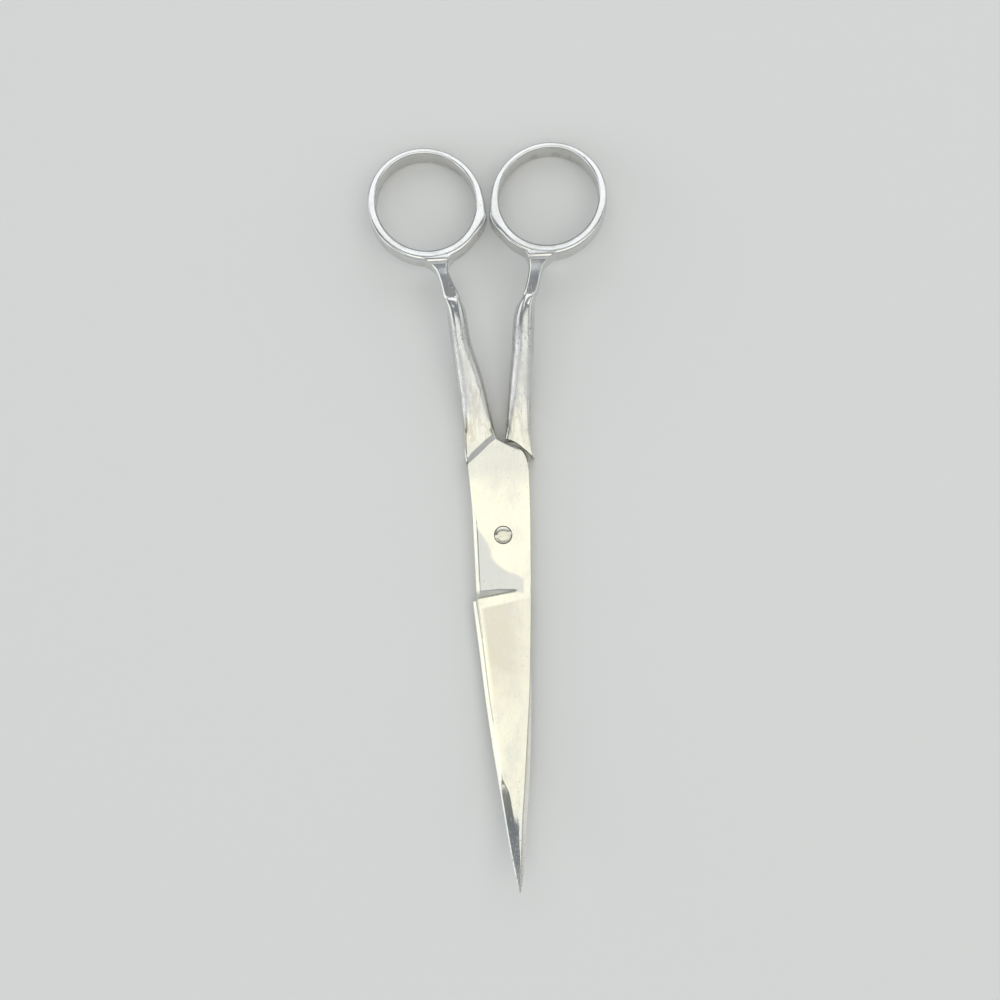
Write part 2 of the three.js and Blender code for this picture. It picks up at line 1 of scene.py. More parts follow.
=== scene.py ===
import math

import bmesh
import bpy
from mathutils import Matrix, Vector


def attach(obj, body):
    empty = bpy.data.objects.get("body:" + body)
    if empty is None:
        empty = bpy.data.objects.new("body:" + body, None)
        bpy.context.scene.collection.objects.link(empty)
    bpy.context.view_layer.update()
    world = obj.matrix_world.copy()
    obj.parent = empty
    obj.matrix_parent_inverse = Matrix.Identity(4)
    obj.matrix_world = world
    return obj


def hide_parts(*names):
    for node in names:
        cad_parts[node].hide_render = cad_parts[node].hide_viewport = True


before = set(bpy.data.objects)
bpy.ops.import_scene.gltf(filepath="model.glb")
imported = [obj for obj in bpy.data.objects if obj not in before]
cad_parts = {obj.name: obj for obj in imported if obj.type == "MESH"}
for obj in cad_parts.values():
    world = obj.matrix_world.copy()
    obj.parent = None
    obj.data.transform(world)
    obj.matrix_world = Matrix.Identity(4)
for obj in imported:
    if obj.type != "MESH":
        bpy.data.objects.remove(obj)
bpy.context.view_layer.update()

MM = 0.001

# Camera, almost straight above the scissors as in the photograph
AIM = Vector((-0.3, 7.1, 4.2)) * MM
CAMERA_DISTANCE = 300 * MM
CAMERA_TILT = math.radians(2.0)
CAMERA_ROLL = math.radians(2.73)
CAMERA_LENS = 53.35


def set_camera():
    camera = bpy.data.cameras.new("camera")
    camera.lens = CAMERA_LENS
    camera.clip_start = 0.01
    holder = bpy.data.objects.new("camera", camera)
    bpy.context.collection.objects.link(holder)
    back = Vector((0, -math.sin(CAMERA_TILT), math.cos(CAMERA_TILT)))
    holder.location = AIM + back * CAMERA_DISTANCE
    level = back.to_track_quat("Z", "Y").to_matrix()
    holder.rotation_euler = (level @ Matrix.Rotation(-CAMERA_ROLL, 3, "Z")).to_euler()
    bpy.context.scene.camera = holder


# Studio, in metres
SKY_COLOUR = (0.84, 0.9, 0.96, 1)
SKY_STRENGTH = 0.3
WARM = (1.0, 0.985, 0.9)
COOL = (0.96, 0.98, 1.0)
WHITE = (1.0, 1.0, 1.0)
MIDDLE = (0, 0.01, 0)
# Each softbox: its name, place, the place it faces, width, length, how bright it looks, colour
SOFTBOXES = (
    ("overhead softbox", (0.31, -0.18, 1.2), (0.31, -0.18, 0), 1.785, 1.02, 1.08, WARM),
    ("back panel", (0.0, 0.95, 0.85), MIDDLE, 2.0, 0.8, 1.06, COOL),
    ("front panel", (0.2, -1.0, 0.75), MIDDLE, 2.2, 0.8, 0.38, COOL),
    ("left panel", (-1.25, 0.1, 0.32), MIDDLE, 1.6, 0.5, 1.05, WHITE),
    ("left front panel", (-1.0, -0.45, 0.78), MIDDLE, 0.9, 0.7, 0.85, COOL),
    ("right panel", (1.15, 0.1, 0.42), MIDDLE, 1.6, 0.6, 0.6, WHITE),
)
FLOOR_SIZE = 12
FLOOR_COLOUR = (0.78, 0.78, 0.77, 1)
FLOOR_ROUGHNESS = 0.7


def softbox(name, place, aim, width, length, radiance, colour):
    """A plain panel of light; its power follows from its area and from how bright it looks."""
    lamp = bpy.data.lights.new(name, "AREA")
    lamp.shape = "RECTANGLE"
    lamp.size = width
    lamp.size_y = length
    lamp.energy = radiance * math.pi * width * length
    lamp.color = colour
    holder = bpy.data.objects.new(name, lamp)
    bpy.context.collection.objects.link(holder)
    holder.location = place
    holder.rotation_euler = (Vector(aim) - Vector(place)).to_track_quat("-Z", "Y").to_euler()


def set_studio():
    world = bpy.data.worlds.new("studio")
    world.use_nodes = True
    background = world.node_tree.nodes["Background"]
    background.inputs["Color"].default_value = SKY_COLOUR
    background.inputs["Strength"].default_value = SKY_STRENGTH
    bpy.context.scene.world = world
    for panel in SOFTBOXES:
        softbox(*panel)


def set_floor():
    bpy.ops.mesh.primitive_plane_add(size=FLOOR_SIZE)
    floor = bpy.context.object
    floor.name = "floor"
    floor.data.materials.append(floor_paint())


def floor_paint():
    material = bpy.data.materials.new("pale floor")
    material.use_nodes = True
    shader = material.node_tree.nodes["Principled BSDF"]
    shader.inputs["Base Color"].default_value = FLOOR_COLOUR
    shader.inputs["Roughness"].default_value = FLOOR_ROUGHNESS
    return material


# Sizes of the forged halves, in millimetres. Each half is drawn straight and flat, then bent.
# u runs across a half towards its blade's spine, s along it towards the rings, and w away from
# the face on which the two halves meet.
PLATE_THICKNESS = 2.1
INNER_FACE = 0.07
PLATE_CHAMFER = 0.8
PLATE_CHAMFER_DEPTH = 0.62
LEAST_CHAMFER = 0.08
BREAK_SHARE = 0.1
CHAMFER_START = 14
CHAMFER_FULL = 2
EDGE_BREAK = 0.15
JOINT_EDGE_WIDTH = 5.95
JOINT_SPINE_WIDTH = 5.7
JOINT_FLARE = 0.53
JOINT_CORNER_WIDTH = 5.96
CORNER_START = 12.9
CORNER_TOP = 19.75
CORNER_BREAK = 0.35
PLATE_ROOT = 3.2
LOWER_CORNER_END = 0.86
POCKET_STEP = 0.01                 # the shank's pocket is this much deeper than the joint's face
ROOT_SINK = 0.03                   # the joint's face sinks this much where it runs into the shank
ROOT_SINK_LENGTH = 2
FLUSH_GAP = 0.08
SHOULDER_STEP = 0.7

BLADE_TIP = -71
BLADE_HEEL = -12.9
HEEL_STEP = 0.9
LOWER_HEEL_WIDTH = 5.1
SPINE_HEEL_WIDTH = 5.12
TIP_HALF_WIDTH = 0.1
SPINE_AT_JOINT = 2.1
SPINE_AT_TIP = 0.75
BEVEL_AT_HEEL = 1.2
BEVEL_AT_TIP = 0.62
EDGE_LAND = 0.09
HOLLOW_GRIND = 0.1
SPINE_TAPER = 1.2
SPINE_STRIP = 1.35
SPINE_STRIP_AT_TIP = 0.2
STRIP_SHARE = 0.14
BEVEL_RISE = 0.25
BEVEL_SHARE_AT_HEEL = 0.1
LEAST_FACET = 0.02
HOLLOW_FULL_WIDTH = 4
LEAST_HOLLOW = 0.005
EDGE_BEVEL = 0.34                  # width of the last, steeper bevel at the cutting edge
EDGE_BEVEL_SLOPE = 0.74
BACK_BEVEL_SLOPE = 1.48            # the narrow facet between that bevel and the face
WIDEST_EDGE_BEVEL = 0.85           # as a share of the room beside the face
EDGE_BEVEL_SHARE = 0.3
EDGE_BEVEL_FADE = 0.25
FINE_START = 0.67                  # share of the blade's length from which its facets flatten
FINE_LENGTH = 0.17
SLOPE_AT_HEEL = 5                  # steepest slope that the wide bevel may have
SLOPE_AT_TIP = 0.47
SPINE_STEP_AT_HEEL = 2             # highest that the spine may stand over the wide bevel
SPINE_STEP_AT_TIP = 0.1
HEEL_HEIGHT = 1.2
FACE_MIDDLE = 0.5                  # two places across the blade's face, as shares of its width
FACE_FAR = 0.8
FACE_SAG = 0.1                     # hollow of the face at the far one, as a share of its rise
FACE_SAG_END = 0.25
NOTCH_UPPER = -10.94
NOTCH_MIDDLE = -10.75
NOTCH_END = -11.54
NOTCH_LENGTH = 2.16
NOTCH_CURVE = 1.25
NOTCH_EDGE_BREAK = 0.1
NOTCH_EDGE_DEPTH = 0.3
JOINT_FACE_SHARES = (0.35, 0.6, 0.8)

# Where the sections of the blade and the joint lie
LAST_BLADE_ROW = BLADE_HEEL - 0.4
NEAR_TIP_ROWS = (BLADE_TIP + 0.5, BLADE_TIP + 1)
NOTCH_RISES = (0, 0.2, 0.4, 0.6, 0.8, 0.92, 1)
JOINT_ROWS = (-9, -7.5, -5.5, -3, 0, 3, 5.5, 8, 10, 11.5)
CORNER_SHARES = (
    0, 0.1, 0.2, 0.3, 0.38, 0.45, 0.52, 0.57, 0.61, 0.635, 0.66, 0.69, 0.75, 0.82, 0.9, 1,
)

SHANK_DOWN = 2.1
SHANK_START = 11
ROOT_DROP = 0.25
INNER_FLANK_SHARE = 0.42           # the flanks take up no more of the shank's width than this
OUTER_FLANK_SHARE = 0.34
NECK_SHARES = (0.715, 0.755, 0.77, 0.79, 0.93, 0.953, 0.967, 0.977)
NECK_HALF_HEIGHT = 1.6
RING_ACROSS = 12.5
RING_ALONG = 68.55
RING_LONG = 11.5
RING_SHORT = 10.85
RING_TURN = math.radians(26)
RING_HALF_HEIGHT = 2.2
WEB_HALF_HEIGHT = 2.19             # web between the neck and the ring
RING_BAND = 1.75
RING_BAND_CHANGE = 0.4
RING_ROUNDING = 0.58
STOP_GAP = 0.4
STOP_ALONG = 65.3
STOP_WIDTH = 4.2
STOP_CURVE = 1.3

MID_HEIGHT = PLATE_THICKNESS
LIFT_START = 20
LIFT_RADIUS = 208
BEND_START = 18
ROOT_END = BEND_START + 4
CLIMB = math.radians(17.364)
CLIMB_LENGTH = 12
CLIMB_RUN = 8
DIP_LENGTH = 16
RING_DIP = math.radians(11)
RING_RUN = 32

SCREW_RADIUS = 1.3
SCREW_HEAD_RADIUS = 1.74
SCREW_HEAD_RIM = 0.25
SCREW_DOME = 0.34
SCREW_CROWN = 3                    # a high power keeps the middle of the head flat
CROWN_SHARES = (0.98, 0.94, 0.88, 0.8, 0.7, 0.6, 0.5, 0.4, 0.3, 0.2, 0.1, 0.03)
SCREW_HEAD_SIDE = 0.05
SCREW_HEAD_BREAK = 0.04
SCREW_TIP = 0.15
SCREW_FOOT = 0.01                  # the screw's end stands this far above the floor
SLOT_WIDTH = 0.6
SLOT_DEPTH = 0.55
SLOT_TURN = math.radians(12)
RUNNING_CLEARANCE = 0.08
THREAD_CLEARANCE = 0.04
SEAT_CLEARANCE = 0.12

# Fineness of the forged surfaces
ROW_STEP = 1.5
SHANK_STEP = 1.8
RING_STEPS = 144
ROUND_STEPS = 96
GROUND_EDGE = 0.17                 # widest round left on a ground edge
ROUND_ROOM = 2.4                   # a facet has to be this many rounds wide to keep one
# Points across the section whose lengthwise edges are rounded, each with its share of the round
ROUNDED_POINTS = ((1, 0.35), (2, 1), (5, 0.35), (6, 0.35), (7, 0.35))
FAR_OUT = 12


# Lines and sections
def smooth_line(rows):
    """A smooth function through rows of (position, value), with no overshoot between them."""
    chords = [(b[1] - a[1]) / (b[0] - a[0]) for a, b in zip(rows, rows[1:])]
    slopes = [chords[0]]
    for before, after in zip(chords, chords[1:]):
        slopes.append(0 if before * after <= 0 else 2 * before * after / (before + after))
    slopes.append(chords[-1])

    def value(position):
        if position <= rows[0][0]:
            return rows[0][1]
        if position >= rows[-1][0]:
            return rows[-1][1]
        i = max(k for k, row in enumerate(rows[:-1]) if row[0] <= position)
        span = rows[i + 1][0] - rows[i][0]
        t = (position - rows[i][0]) / span
        rise = rows[i + 1][1] - rows[i][1]
        ease = rise * (3 * t * t - 2 * t ** 3)
        bow = slopes[i] * t * (1 - t) ** 2 - slopes[i + 1] * t * t * (1 - t)
        return rows[i][1] + ease + span * bow

    return value


def mix(a, b, share):
    return a + (b - a) * share


def clamp(value, low, high):
    return max(low, min(high, value))


def blade_line(rows):
    """Rows run from the blade's heel (share 0) to its tip (share 1)."""
    line = smooth_line(rows)
    return lambda s: line((s - BLADE_HEEL) / (BLADE_TIP - BLADE_HEEL))


upper_edge = blade_line([
    (0, -JOINT_EDGE_WIDTH - HEEL_STEP), (0.1, -6.37), (0.23, -5.74), (0.36, -5.12), (0.5, -4.28),
    (0.6, -3.58), (0.74, -2.56), (0.86, -1.65), (0.96, -0.68), (1, -TIP_HALF_WIDTH),
])
lower_edge = blade_line([
    (0, -LOWER_HEEL_WIDTH), (0.15, -4.6), (0.32, -4.26), (0.46, -3.76), (0.55, -3.39),
    (0.66, -2.78), (0.76, -2.09), (0.86, -1.47), (0.97, -0.51), (1, -TIP_HALF_WIDTH),
])
spine_line = blade_line([
    (0, SPINE_HEEL_WIDTH), (0.15, 4.61), (0.32, 3.95), (0.42, 3.36), (0.55, 2.59),
    (0.66, 1.92), (0.76, 1.24), (0.86, 0.74), (0.91, 0.47), (1, 0.02),
])
bevel_share = blade_line([
    (0, 0.085), (0.16, 0.1), (0.31, 0.105), (0.47, 0.14), (0.61, 0.17), (0.68, 0.385),
    (0.72, 0.435), (0.79, 0.54), (0.85, 0.79), (0.91, 0.86), (1, 0.8),
])
corner_line = smooth_line([
    (CORNER_START, JOINT_CORNER_WIDTH), (14.3, 5.95), (15.25, 5.78), (16.15, 5.42), (17, 4.87),
    (17.5, 4.2), (17.87, 3.24), (18.3, 2.25), (18.75, 1.26), (19.25, 0.4), (CORNER_TOP, -0.41),
])
plate_spine_line = smooth_line([
    (NOTCH_UPPER, JOINT_SPINE_WIDTH - 0.45), (-3.3, JOINT_SPINE_WIDTH - 0.2),
    (4, JOINT_SPINE_WIDTH + 0.1), (CORNER_START, JOINT_CORNER_WIDTH),
])
CORNER_EDGE = -JOINT_EDGE_WIDTH - 0.8 * JOINT_FLARE
upper_plate_edge = smooth_line([
    (NOTCH_UPPER, -JOINT_EDGE_WIDTH), (3, -JOINT_EDGE_WIDTH),
    (8.6, -JOINT_EDGE_WIDTH - 0.35 * JOINT_FLARE), (CORNER_START, CORNER_EDGE),
    (CHAMFER_START + 0.5, -JOINT_EDGE_WIDTH - JOINT_FLARE), (CORNER_TOP, -PLATE_ROOT),
])
lower_plate_root = smooth_line([
    (CORNER_START, FLUSH_GAP - JOINT_CORNER_WIDTH), (CHAMFER_START + 2, CORNER_EDGE),
    (CORNER_TOP, -PLATE_ROOT),
])
notch_lip = smooth_line([(0, NOTCH_END), (0.5, NOTCH_MIDDLE), (1, NOTCH_UPPER)])
notch_width = smooth_line([
    (0, 0), (0.08, 0.3), (0.16, 0.56), (0.3, 1.05), (0.5, 1.6), (1, NOTCH_LENGTH),
])


def lower_plate_edge(s):
    """The lower joint's edge side keeps just inside the spine side of the upper one."""
    return FLUSH_GAP - plate_spine_line(s) if s < CORNER_START else lower_plate_root(s)


def edge_bevel_width(room, rise):
    """Width of the steeper bevel at the cutting edge, in the room beside the blade's face."""
    steepness = rise / room
    if steepness > EDGE_BEVEL_SLOPE:
        share = (BACK_BEVEL_SLOPE - steepness) / (BACK_BEVEL_SLOPE - EDGE_BEVEL_SLOPE)
        return room * min(share, WIDEST_EDGE_BEVEL)
    fade = clamp((EDGE_BEVEL_SLOPE - steepness) / EDGE_BEVEL_FADE, 0, 1)
    return mix(room * WIDEST_EDGE_BEVEL, min(EDGE_BEVEL, room * EDGE_BEVEL_SHARE), fade)


def blade_section(s, edge):
    """Top of the blade in eight points, from the cutting edge to the spine."""
    along = (s - BLADE_HEEL) / (BLADE_TIP - BLADE_HEEL)
    left = edge(s)
    right = spine_line(s)
    width = right - left
    spine = mix(SPINE_AT_JOINT, SPINE_AT_TIP, along ** SPINE_TAPER)
    bevel_gain = BEVEL_RISE * (bevel_share(s) - BEVEL_SHARE_AT_HEEL)
    bevel = min(mix(BEVEL_AT_HEEL, BEVEL_AT_TIP, along) + bevel_gain, spine - LEAST_FACET)
    strip = min(mix(SPINE_STRIP, 0, along) + SPINE_STRIP_AT_TIP, width * STRIP_SHARE)
    chamfer = min(EDGE_BREAK, width * BREAK_SHARE)
    bevel_end = left + width * bevel_share(s)
    strip_start = max(right - strip - chamfer, bevel_end + width * LEAST_FACET)
    land = INNER_FACE + EDGE_LAND
    room = bevel_end - left
    fineness = clamp((along - FINE_START) / FINE_LENGTH, 0, 1)
    bevel = min(bevel, land + room * mix(SLOPE_AT_HEEL, SLOPE_AT_TIP, fineness))
    spine = min(spine, bevel + mix(SPINE_STEP_AT_HEEL, SPINE_STEP_AT_TIP, fineness))
    edge_bevel = edge_bevel_width(room, bevel - land)
    edge_top = min(land + edge_bevel * EDGE_BEVEL_SLOPE, bevel)
    sag = FACE_SAG * clamp(1 - along / FACE_SAG_END, 0, 1)
    s = arc_place(s)
    return [
        (left + LEAST_FACET, s, land),
        (left + edge_bevel, s, edge_top),
        (bevel_end, s, bevel),
        (mix(bevel_end, strip_start, FACE_MIDDLE), s, mix(bevel, spine, FACE_MIDDLE)),
        (mix(bevel_end, strip_start, FACE_FAR), s, mix(bevel, spine, FACE_FAR - sag)),
        (strip_start, s, spine),
        (max(right - chamfer, strip_start + width * LEAST_FACET), s, spine),
        (right, s, spine - chamfer),
    ]


def arc_place(s):
    """Place on the flat forging of a point that lies at s once the blade sweeps up."""
    past = -s - LIFT_START
    if past <= 0:
        return s
    slope = past / LIFT_RADIUS
    return -LIFT_START - past / 2 * math.hypot(1, slope) - LIFT_RADIUS / 2 * math.asinh(slope)


def notch_point(u, depth_share, rise):
    ground = mix(PLATE_THICKNESS, HEEL_HEIGHT, depth_share)
    s = notch_lip(depth_share) - notch_width(depth_share) * (1 - rise)
    return (u, s, mix(ground, PLATE_THICKNESS, rise ** NOTCH_CURVE))


def notch_section(rise, edge_side):
    """The hollow shoulder that the grinding wheel leaves between the joint and the blade."""
    right = spine_line(BLADE_HEEL)
    left = -edge_side
    strip_start = right - SPINE_STRIP
    edge = notch_point(left, 1, rise)
    low = (left, edge[1], edge[2] - mix(NOTCH_EDGE_DEPTH, PLATE_CHAMFER_DEPTH, rise))
    high = notch_point(left + mix(NOTCH_EDGE_BREAK, PLATE_CHAMFER, rise), 1, rise)
    return [
        low,
        tuple(mix(a, b, 0.5) for a, b in zip(low, high)),
        high,
        notch_point(mix(left, strip_start, FACE_MIDDLE), 1 - FACE_MIDDLE, rise),
        notch_point(mix(left, strip_start, FACE_FAR), 1 - FACE_FAR + FACE_SAG, rise),
        (strip_start, NOTCH_END, PLATE_THICKNESS),
        (right - EDGE_BREAK, NOTCH_END, PLATE_THICKNESS),
        (right, NOTCH_END, PLATE_THICKNESS - EDGE_BREAK),
    ]


def joint_section(s, plate_edge):
    left = plate_edge(s)
    right = corner_line(s) if s > CORNER_START else plate_spine_line(s)
    face = PLATE_THICKNESS - ROOT_SINK * clamp((s - CORNER_START) / ROOT_SINK_LENGTH, 0, 1)
    share = clamp((CHAMFER_START - s) / (CHAMFER_START - CHAMFER_FULL), LEAST_CHAMFER, 1)
    break_width = mix(EDGE_BREAK, CORNER_BREAK, clamp(s - CORNER_START, 0, 1))
    break_width = min(break_width, (right - left) * BREAK_SHARE)
    return [
        (left, s, face - PLATE_CHAMFER_DEPTH * share),
        (left + PLATE_CHAMFER * share / 2, s, face - PLATE_CHAMFER_DEPTH * share / 2),
        (left + PLATE_CHAMFER * share, s, face),
        *[(mix(left, right, part), s, face) for part in JOINT_FACE_SHARES],
        (right - break_width, s, face),
        (right, s, face - break_width),
    ]


# Modelling by hand, in millimetres
def select_only(piece):
    bpy.ops.object.select_all(action="DESELECT")
    piece.select_set(True)
    bpy.context.view_layer.objects.active = piece


def enter(piece):
    """Edit mode on one piece, with nothing selected."""
    select_only(piece)
    bpy.ops.object.mode_set(mode="EDIT")
    bpy.ops.mesh.select_mode(type="VERT")
    bpy.ops.mesh.select_all(action="DESELECT")
    return bmesh.from_edit_mesh(piece.data)


def leave():
    bpy.ops.object.mode_set(mode="OBJECT")


def choose(mesh, vertices):
    bpy.ops.mesh.select_all(action="DESELECT")
    for vertex in vertices:
        vertex.select_set(True)
    mesh.select_flush(True)


def drag(mesh, vertex, move):
    choose(mesh, [vertex])
    bpy.ops.transform.translate(value=move)


def drag_row(mesh, row, places):
    for vertex, place in zip(row, places):
        drag(mesh, vertex, Vector(place) - vertex.co)


def next_row(piece, mesh, row, places):
    """Extrudes a row of vertices and drags the new ones to their places."""
    choose(mesh, row)
    bpy.ops.mesh.extrude_region_move()
    mesh = bmesh.from_edit_mesh(piece.data)
    fresh = [vertex for vertex in mesh.verts if vertex.select]
    new_row = [min(fresh, key=lambda v: (v.co - old.co).length_squared) for old in row]
    drag_row(mesh, new_row, places)
    return mesh, new_row


def pull_rows(piece, mesh, rows, sections):
    """Extrudes the last row again and again, from one section to the next."""
    for section in sections:
        mesh, row = next_row(piece, mesh, rows[-1], section)
        rows.append(row)
    return mesh


def loft(name, sections):
    """A closed skin, extruded from section to section; its rows last while its mesh is kept."""
    bpy.ops.object.select_all(action="DESELECT")
    bpy.ops.mesh.primitive_circle_add(vertices=len(sections[0]), fill_type="NGON")
    piece = bpy.context.object
    piece.name = name
    mesh = enter(piece)
    rows = [list(mesh.verts)]
    drag_row(mesh, rows[0], sections[0])
    mesh = pull_rows(piece, mesh, rows, sections[1:])
    return piece, mesh, rows


def outward(piece):
    bpy.ops.mesh.select_all(action="SELECT")
    bpy.ops.mesh.normals_make_consistent(inside=False)
    leave()
    return piece


def apply_modifier(piece, kind, **settings):
    select_only(piece)
    modifier = piece.modifiers.new(kind.lower(), kind)
    for setting, value in settings.items():
        setattr(modifier, setting, value)
    bpy.ops.object.modifier_apply(modifier=modifier.name)


def combine(piece, other, operation):
    apply_modifier(piece, "BOOLEAN", operation=operation, solver="EXACT", object=other)
    bpy.data.objects.remove(other)


def stations(start, end, step, extra=()):
    count = math.ceil((end - start) / step)
    places = [mix(start, end, i / count) for i in range(count + 1)]
    return sorted([*places, *extra])


# Blade and joint: a strip is pulled along the top, then closed down to the meeting face
def blade_and_joint(name, side, edge, plate_edge, corner_end):
    blade_rows = stations(BLADE_TIP, LAST_BLADE_ROW, ROW_STEP, NEAR_TIP_ROWS)
    sections = [blade_section(s, edge) for s in blade_rows]
    edge_side = -plate_edge(NOTCH_UPPER)
    sections += [notch_section(rise, edge_side) for rise in NOTCH_RISES]
    sections += [joint_section(s, plate_edge) for s in JOINT_ROWS]
    corner_length = (CORNER_TOP - CORNER_START) * corner_end
    corner_rows = [CORNER_START + corner_length * share for share in CORNER_SHARES]
    sections += [joint_section(s, plate_edge) for s in corner_rows]
    turned = [[(side * u, s, side * w) for u, s, w in section] for section in sections]

    bpy.ops.object.select_all(action="DESELECT")
    bpy.ops.mesh.primitive_grid_add(x_subdivisions=len(turned[0]) - 1, y_subdivisions=1)
    piece = bpy.context.object
    piece.name = name
    mesh = enter(piece)
    first = sorted((v for v in mesh.verts if v.co.y < 0), key=lambda v: v.co.x)
    second = sorted((v for v in mesh.verts if v.co.y > 0), key=lambda v: v.co.x)
    drag_row(mesh, first, turned[0])
    drag_row(mesh, second, turned[1])
    rows = [first, second]
    pull_rows(piece, mesh, rows, turned[2:])

    bpy.ops.mesh.select_all(action="SELECT")
    bpy.ops.mesh.extrude_region_move()
    bpy.ops.transform.resize(value=(1, 1, 0), center_override=(0, 0, side * INNER_FACE))
    mesh = bmesh.from_edit_mesh(piece.data)
    hollow_face(mesh, [v for v in mesh.verts if v.select], side, edge)
    round_ground_edges(rows)
    bpy.ops.mesh.select_all(action="SELECT")
    bpy.ops.mesh.remove_doubles(threshold=0.004)
    outward(piece)
    apply_modifier(piece, "BEVEL", limit_method="WEIGHT", width=GROUND_EDGE, segments=2,
                   use_clamp_overlap=False)
    return piece


def hollow_face(mesh, face, side, edge):
    """The meeting face of the blade is ground slightly hollow."""
    for vertex in face:
        s = vertex.co.y
        if s > BLADE_HEEL:
            continue
        width = spine_line(s) - edge(s)
        share = clamp((side * vertex.co.x - edge(s)) / width, 0, 1)
        depth = HOLLOW_GRIND * min(1, width / HOLLOW_FULL_WIDTH) * 4 * share * (1 - share)
        if depth > LEAST_HOLLOW:
            drag(mesh, vertex, (0, 0, side * depth))


def round_ground_edges(rows):
    """Lengthwise edges between facets keep a small round wherever there is room for it."""
    bpy.ops.mesh.select_mode(type="EDGE")
    for k, weight in ROUNDED_POINTS:
        needed = ROUND_ROOM * GROUND_EDGE * weight
        bpy.ops.mesh.select_all(action="DESELECT")
        for row, following in zip(rows, rows[1:]):
            if min(facet_room(row, k), facet_room(following, k)) < needed:
                continue
            for edge in row[k].link_edges:
                if edge.other_vert(row[k]) == following[k]:
                    edge.select_set(True)
        bpy.ops.transform.edge_bevelweight(value=weight)
    bpy.ops.mesh.select_mode(type="VERT")


def facet_room(row, k):
    """Width of the narrower facet beside the kth point of a row."""
    return min((row[k].co - row[i].co).length for i in (k - 1, k + 1) if i < len(row))


# Shank and neck
RING_REACH = math.hypot(RING_LONG * math.cos(RING_TURN), RING_SHORT * math.sin(RING_TURN))
NECK_END = RING_ALONG - RING_REACH


def shank_line(rows):
    """Rows run from the joint's corner (share 0) to the near side of the ring (share 1)."""
    line = smooth_line(rows)
    return lambda s: line((s - CORNER_TOP) / (NECK_END - CORNER_TOP))


upper_outer = shank_line([
    (-0.2, 6.3), (-0.135, 6.7), (-0.12, 6.98), (-0.09, 7.12), (0.01, 7.05), (0.11, 7.16),
    (0.22, 7.48), (0.33, 7.94), (0.44, 8.35), (0.54, 8.74), (0.65, 9.09), (0.76, 9.62),
    (0.83, 10.12), (0.88, 10.49), (0.93, 11.3), (0.95, 12.02), (0.97, 13.13), (0.98, 13.75),
    (1, 14.6),
])
upper_inner = shank_line([
    (-0.23, -1), (-0.1, -0.6), (0, 0.39), (0.09, 0.97), (0.17, 1.47), (0.29, 2.26), (0.4, 3.17),
    (0.54, 4.64), (0.64, 5.01), (0.71, 5.39), (0.76, 6.2), (0.82, 7.11), (0.88, 8.13), (0.93, 8.61),
    (0.96, 8.35), (0.98, 7.9), (0.99, 7.55), (1, 7.2),
])
lower_outer = shank_line([
    (-0.23, 7.39), (-0.12, 7.2), (-0.06, 6.8), (0.03, 6.6), (0.14, 6.84), (0.31, 7.38),
    (0.48, 7.99), (0.64, 8.41), (0.74, 8.73), (0.81, 9.62), (0.88, 10.22), (0.93, 11.1),
    (0.95, 11.82), (0.97, 12.93), (0.98, 13.55), (1, 14.4),
])
lower_inner = shank_line([
    (-0.23, -1), (-0.1, -0.6), (-0.02, 1.3), (0.04, 1.59), (0.15, 1.92), (0.26, 2.36), (0.37, 2.84),
    (0.48, 3.39), (0.59, 3.76), (0.66, 4.11), (0.71, 4.71), (0.77, 6.18), (0.82, 6.96), (0.9, 7.65),
    (0.94, 7.75), (0.965, 7.6), (0.98, 7.4), (1, 7),
])
SHANK_UP = PLATE_THICKNESS + SHOULDER_STEP
shank_top = shank_line([
    (-0.03, SHANK_UP), (0.06, SHANK_UP - 0.2), (0.2, SHANK_UP - 0.15), (0.38, 2.55), (0.6, 2.5),
    (0.635, 2.47), (0.675, 2.27), (0.715, 2.05), (0.755, 1.88), (0.77, 1.62), (0.81, 1.57),
    (0.86, 1.56), (0.91, 1.6), (0.952, 1.68), (0.967, WEB_HALF_HEIGHT - 0.06),
    (0.976, WEB_HALF_HEIGHT), (1, WEB_HALF_HEIGHT),
])
shank_bottom = shank_line([
    (0.11, SHANK_DOWN), (0.38, 2.3), (0.6, 2.4), (0.74, 2.3), (0.78, NECK_HALF_HEIGHT),
    (0.93, NECK_HALF_HEIGHT), (0.96, WEB_HALF_HEIGHT), (1, WEB_HALF_HEIGHT),
])
inner_flank = shank_line([
    (-0.23, 0.5), (0.06, 0.6), (0.17, 1.25), (0.43, 1.5), (0.65, 1.75), (0.74, 1.3), (0.79, 0.45),
    (1, 0.4),
])
outer_flank = shank_line([
    (-0.23, 0.45), (0.06, 0.5), (0.27, 0.85), (0.49, 0.95), (0.65, 1.3), (0.74, 1.1), (0.79, 0.45),
    (1, 0.4),
])
flank_drop = shank_line([
    (-0.23, 0.3), (0.06, 0.5), (0.27, 1.1), (0.54, 1.3), (0.7, 1.25), (0.79, 0.4), (1, 0.4),
])


def shank_section(s, outer_line, inner_line, side):
    outer = outer_line(s)
    inner = inner_line(s)
    width = outer - inner
    top = shank_top(s)
    bottom = -shank_bottom(s)
    near_in = inner + min(inner_flank(s), width * INNER_FLANK_SHARE)
    near_out = outer - min(outer_flank(s), width * OUTER_FLANK_SHARE)
    drop = flank_drop(s)
    low_drop = ROOT_DROP if s < ROOT_END else drop
    section = [
        (inner, top - drop), (near_in, top), (near_out, top), (outer, top - drop),
        (outer, bottom + low_drop), (near_out, bottom), (near_in, bottom),
        (inner, bottom + low_drop),
    ]
    return [(-side * across, s, height) for across, height in section]


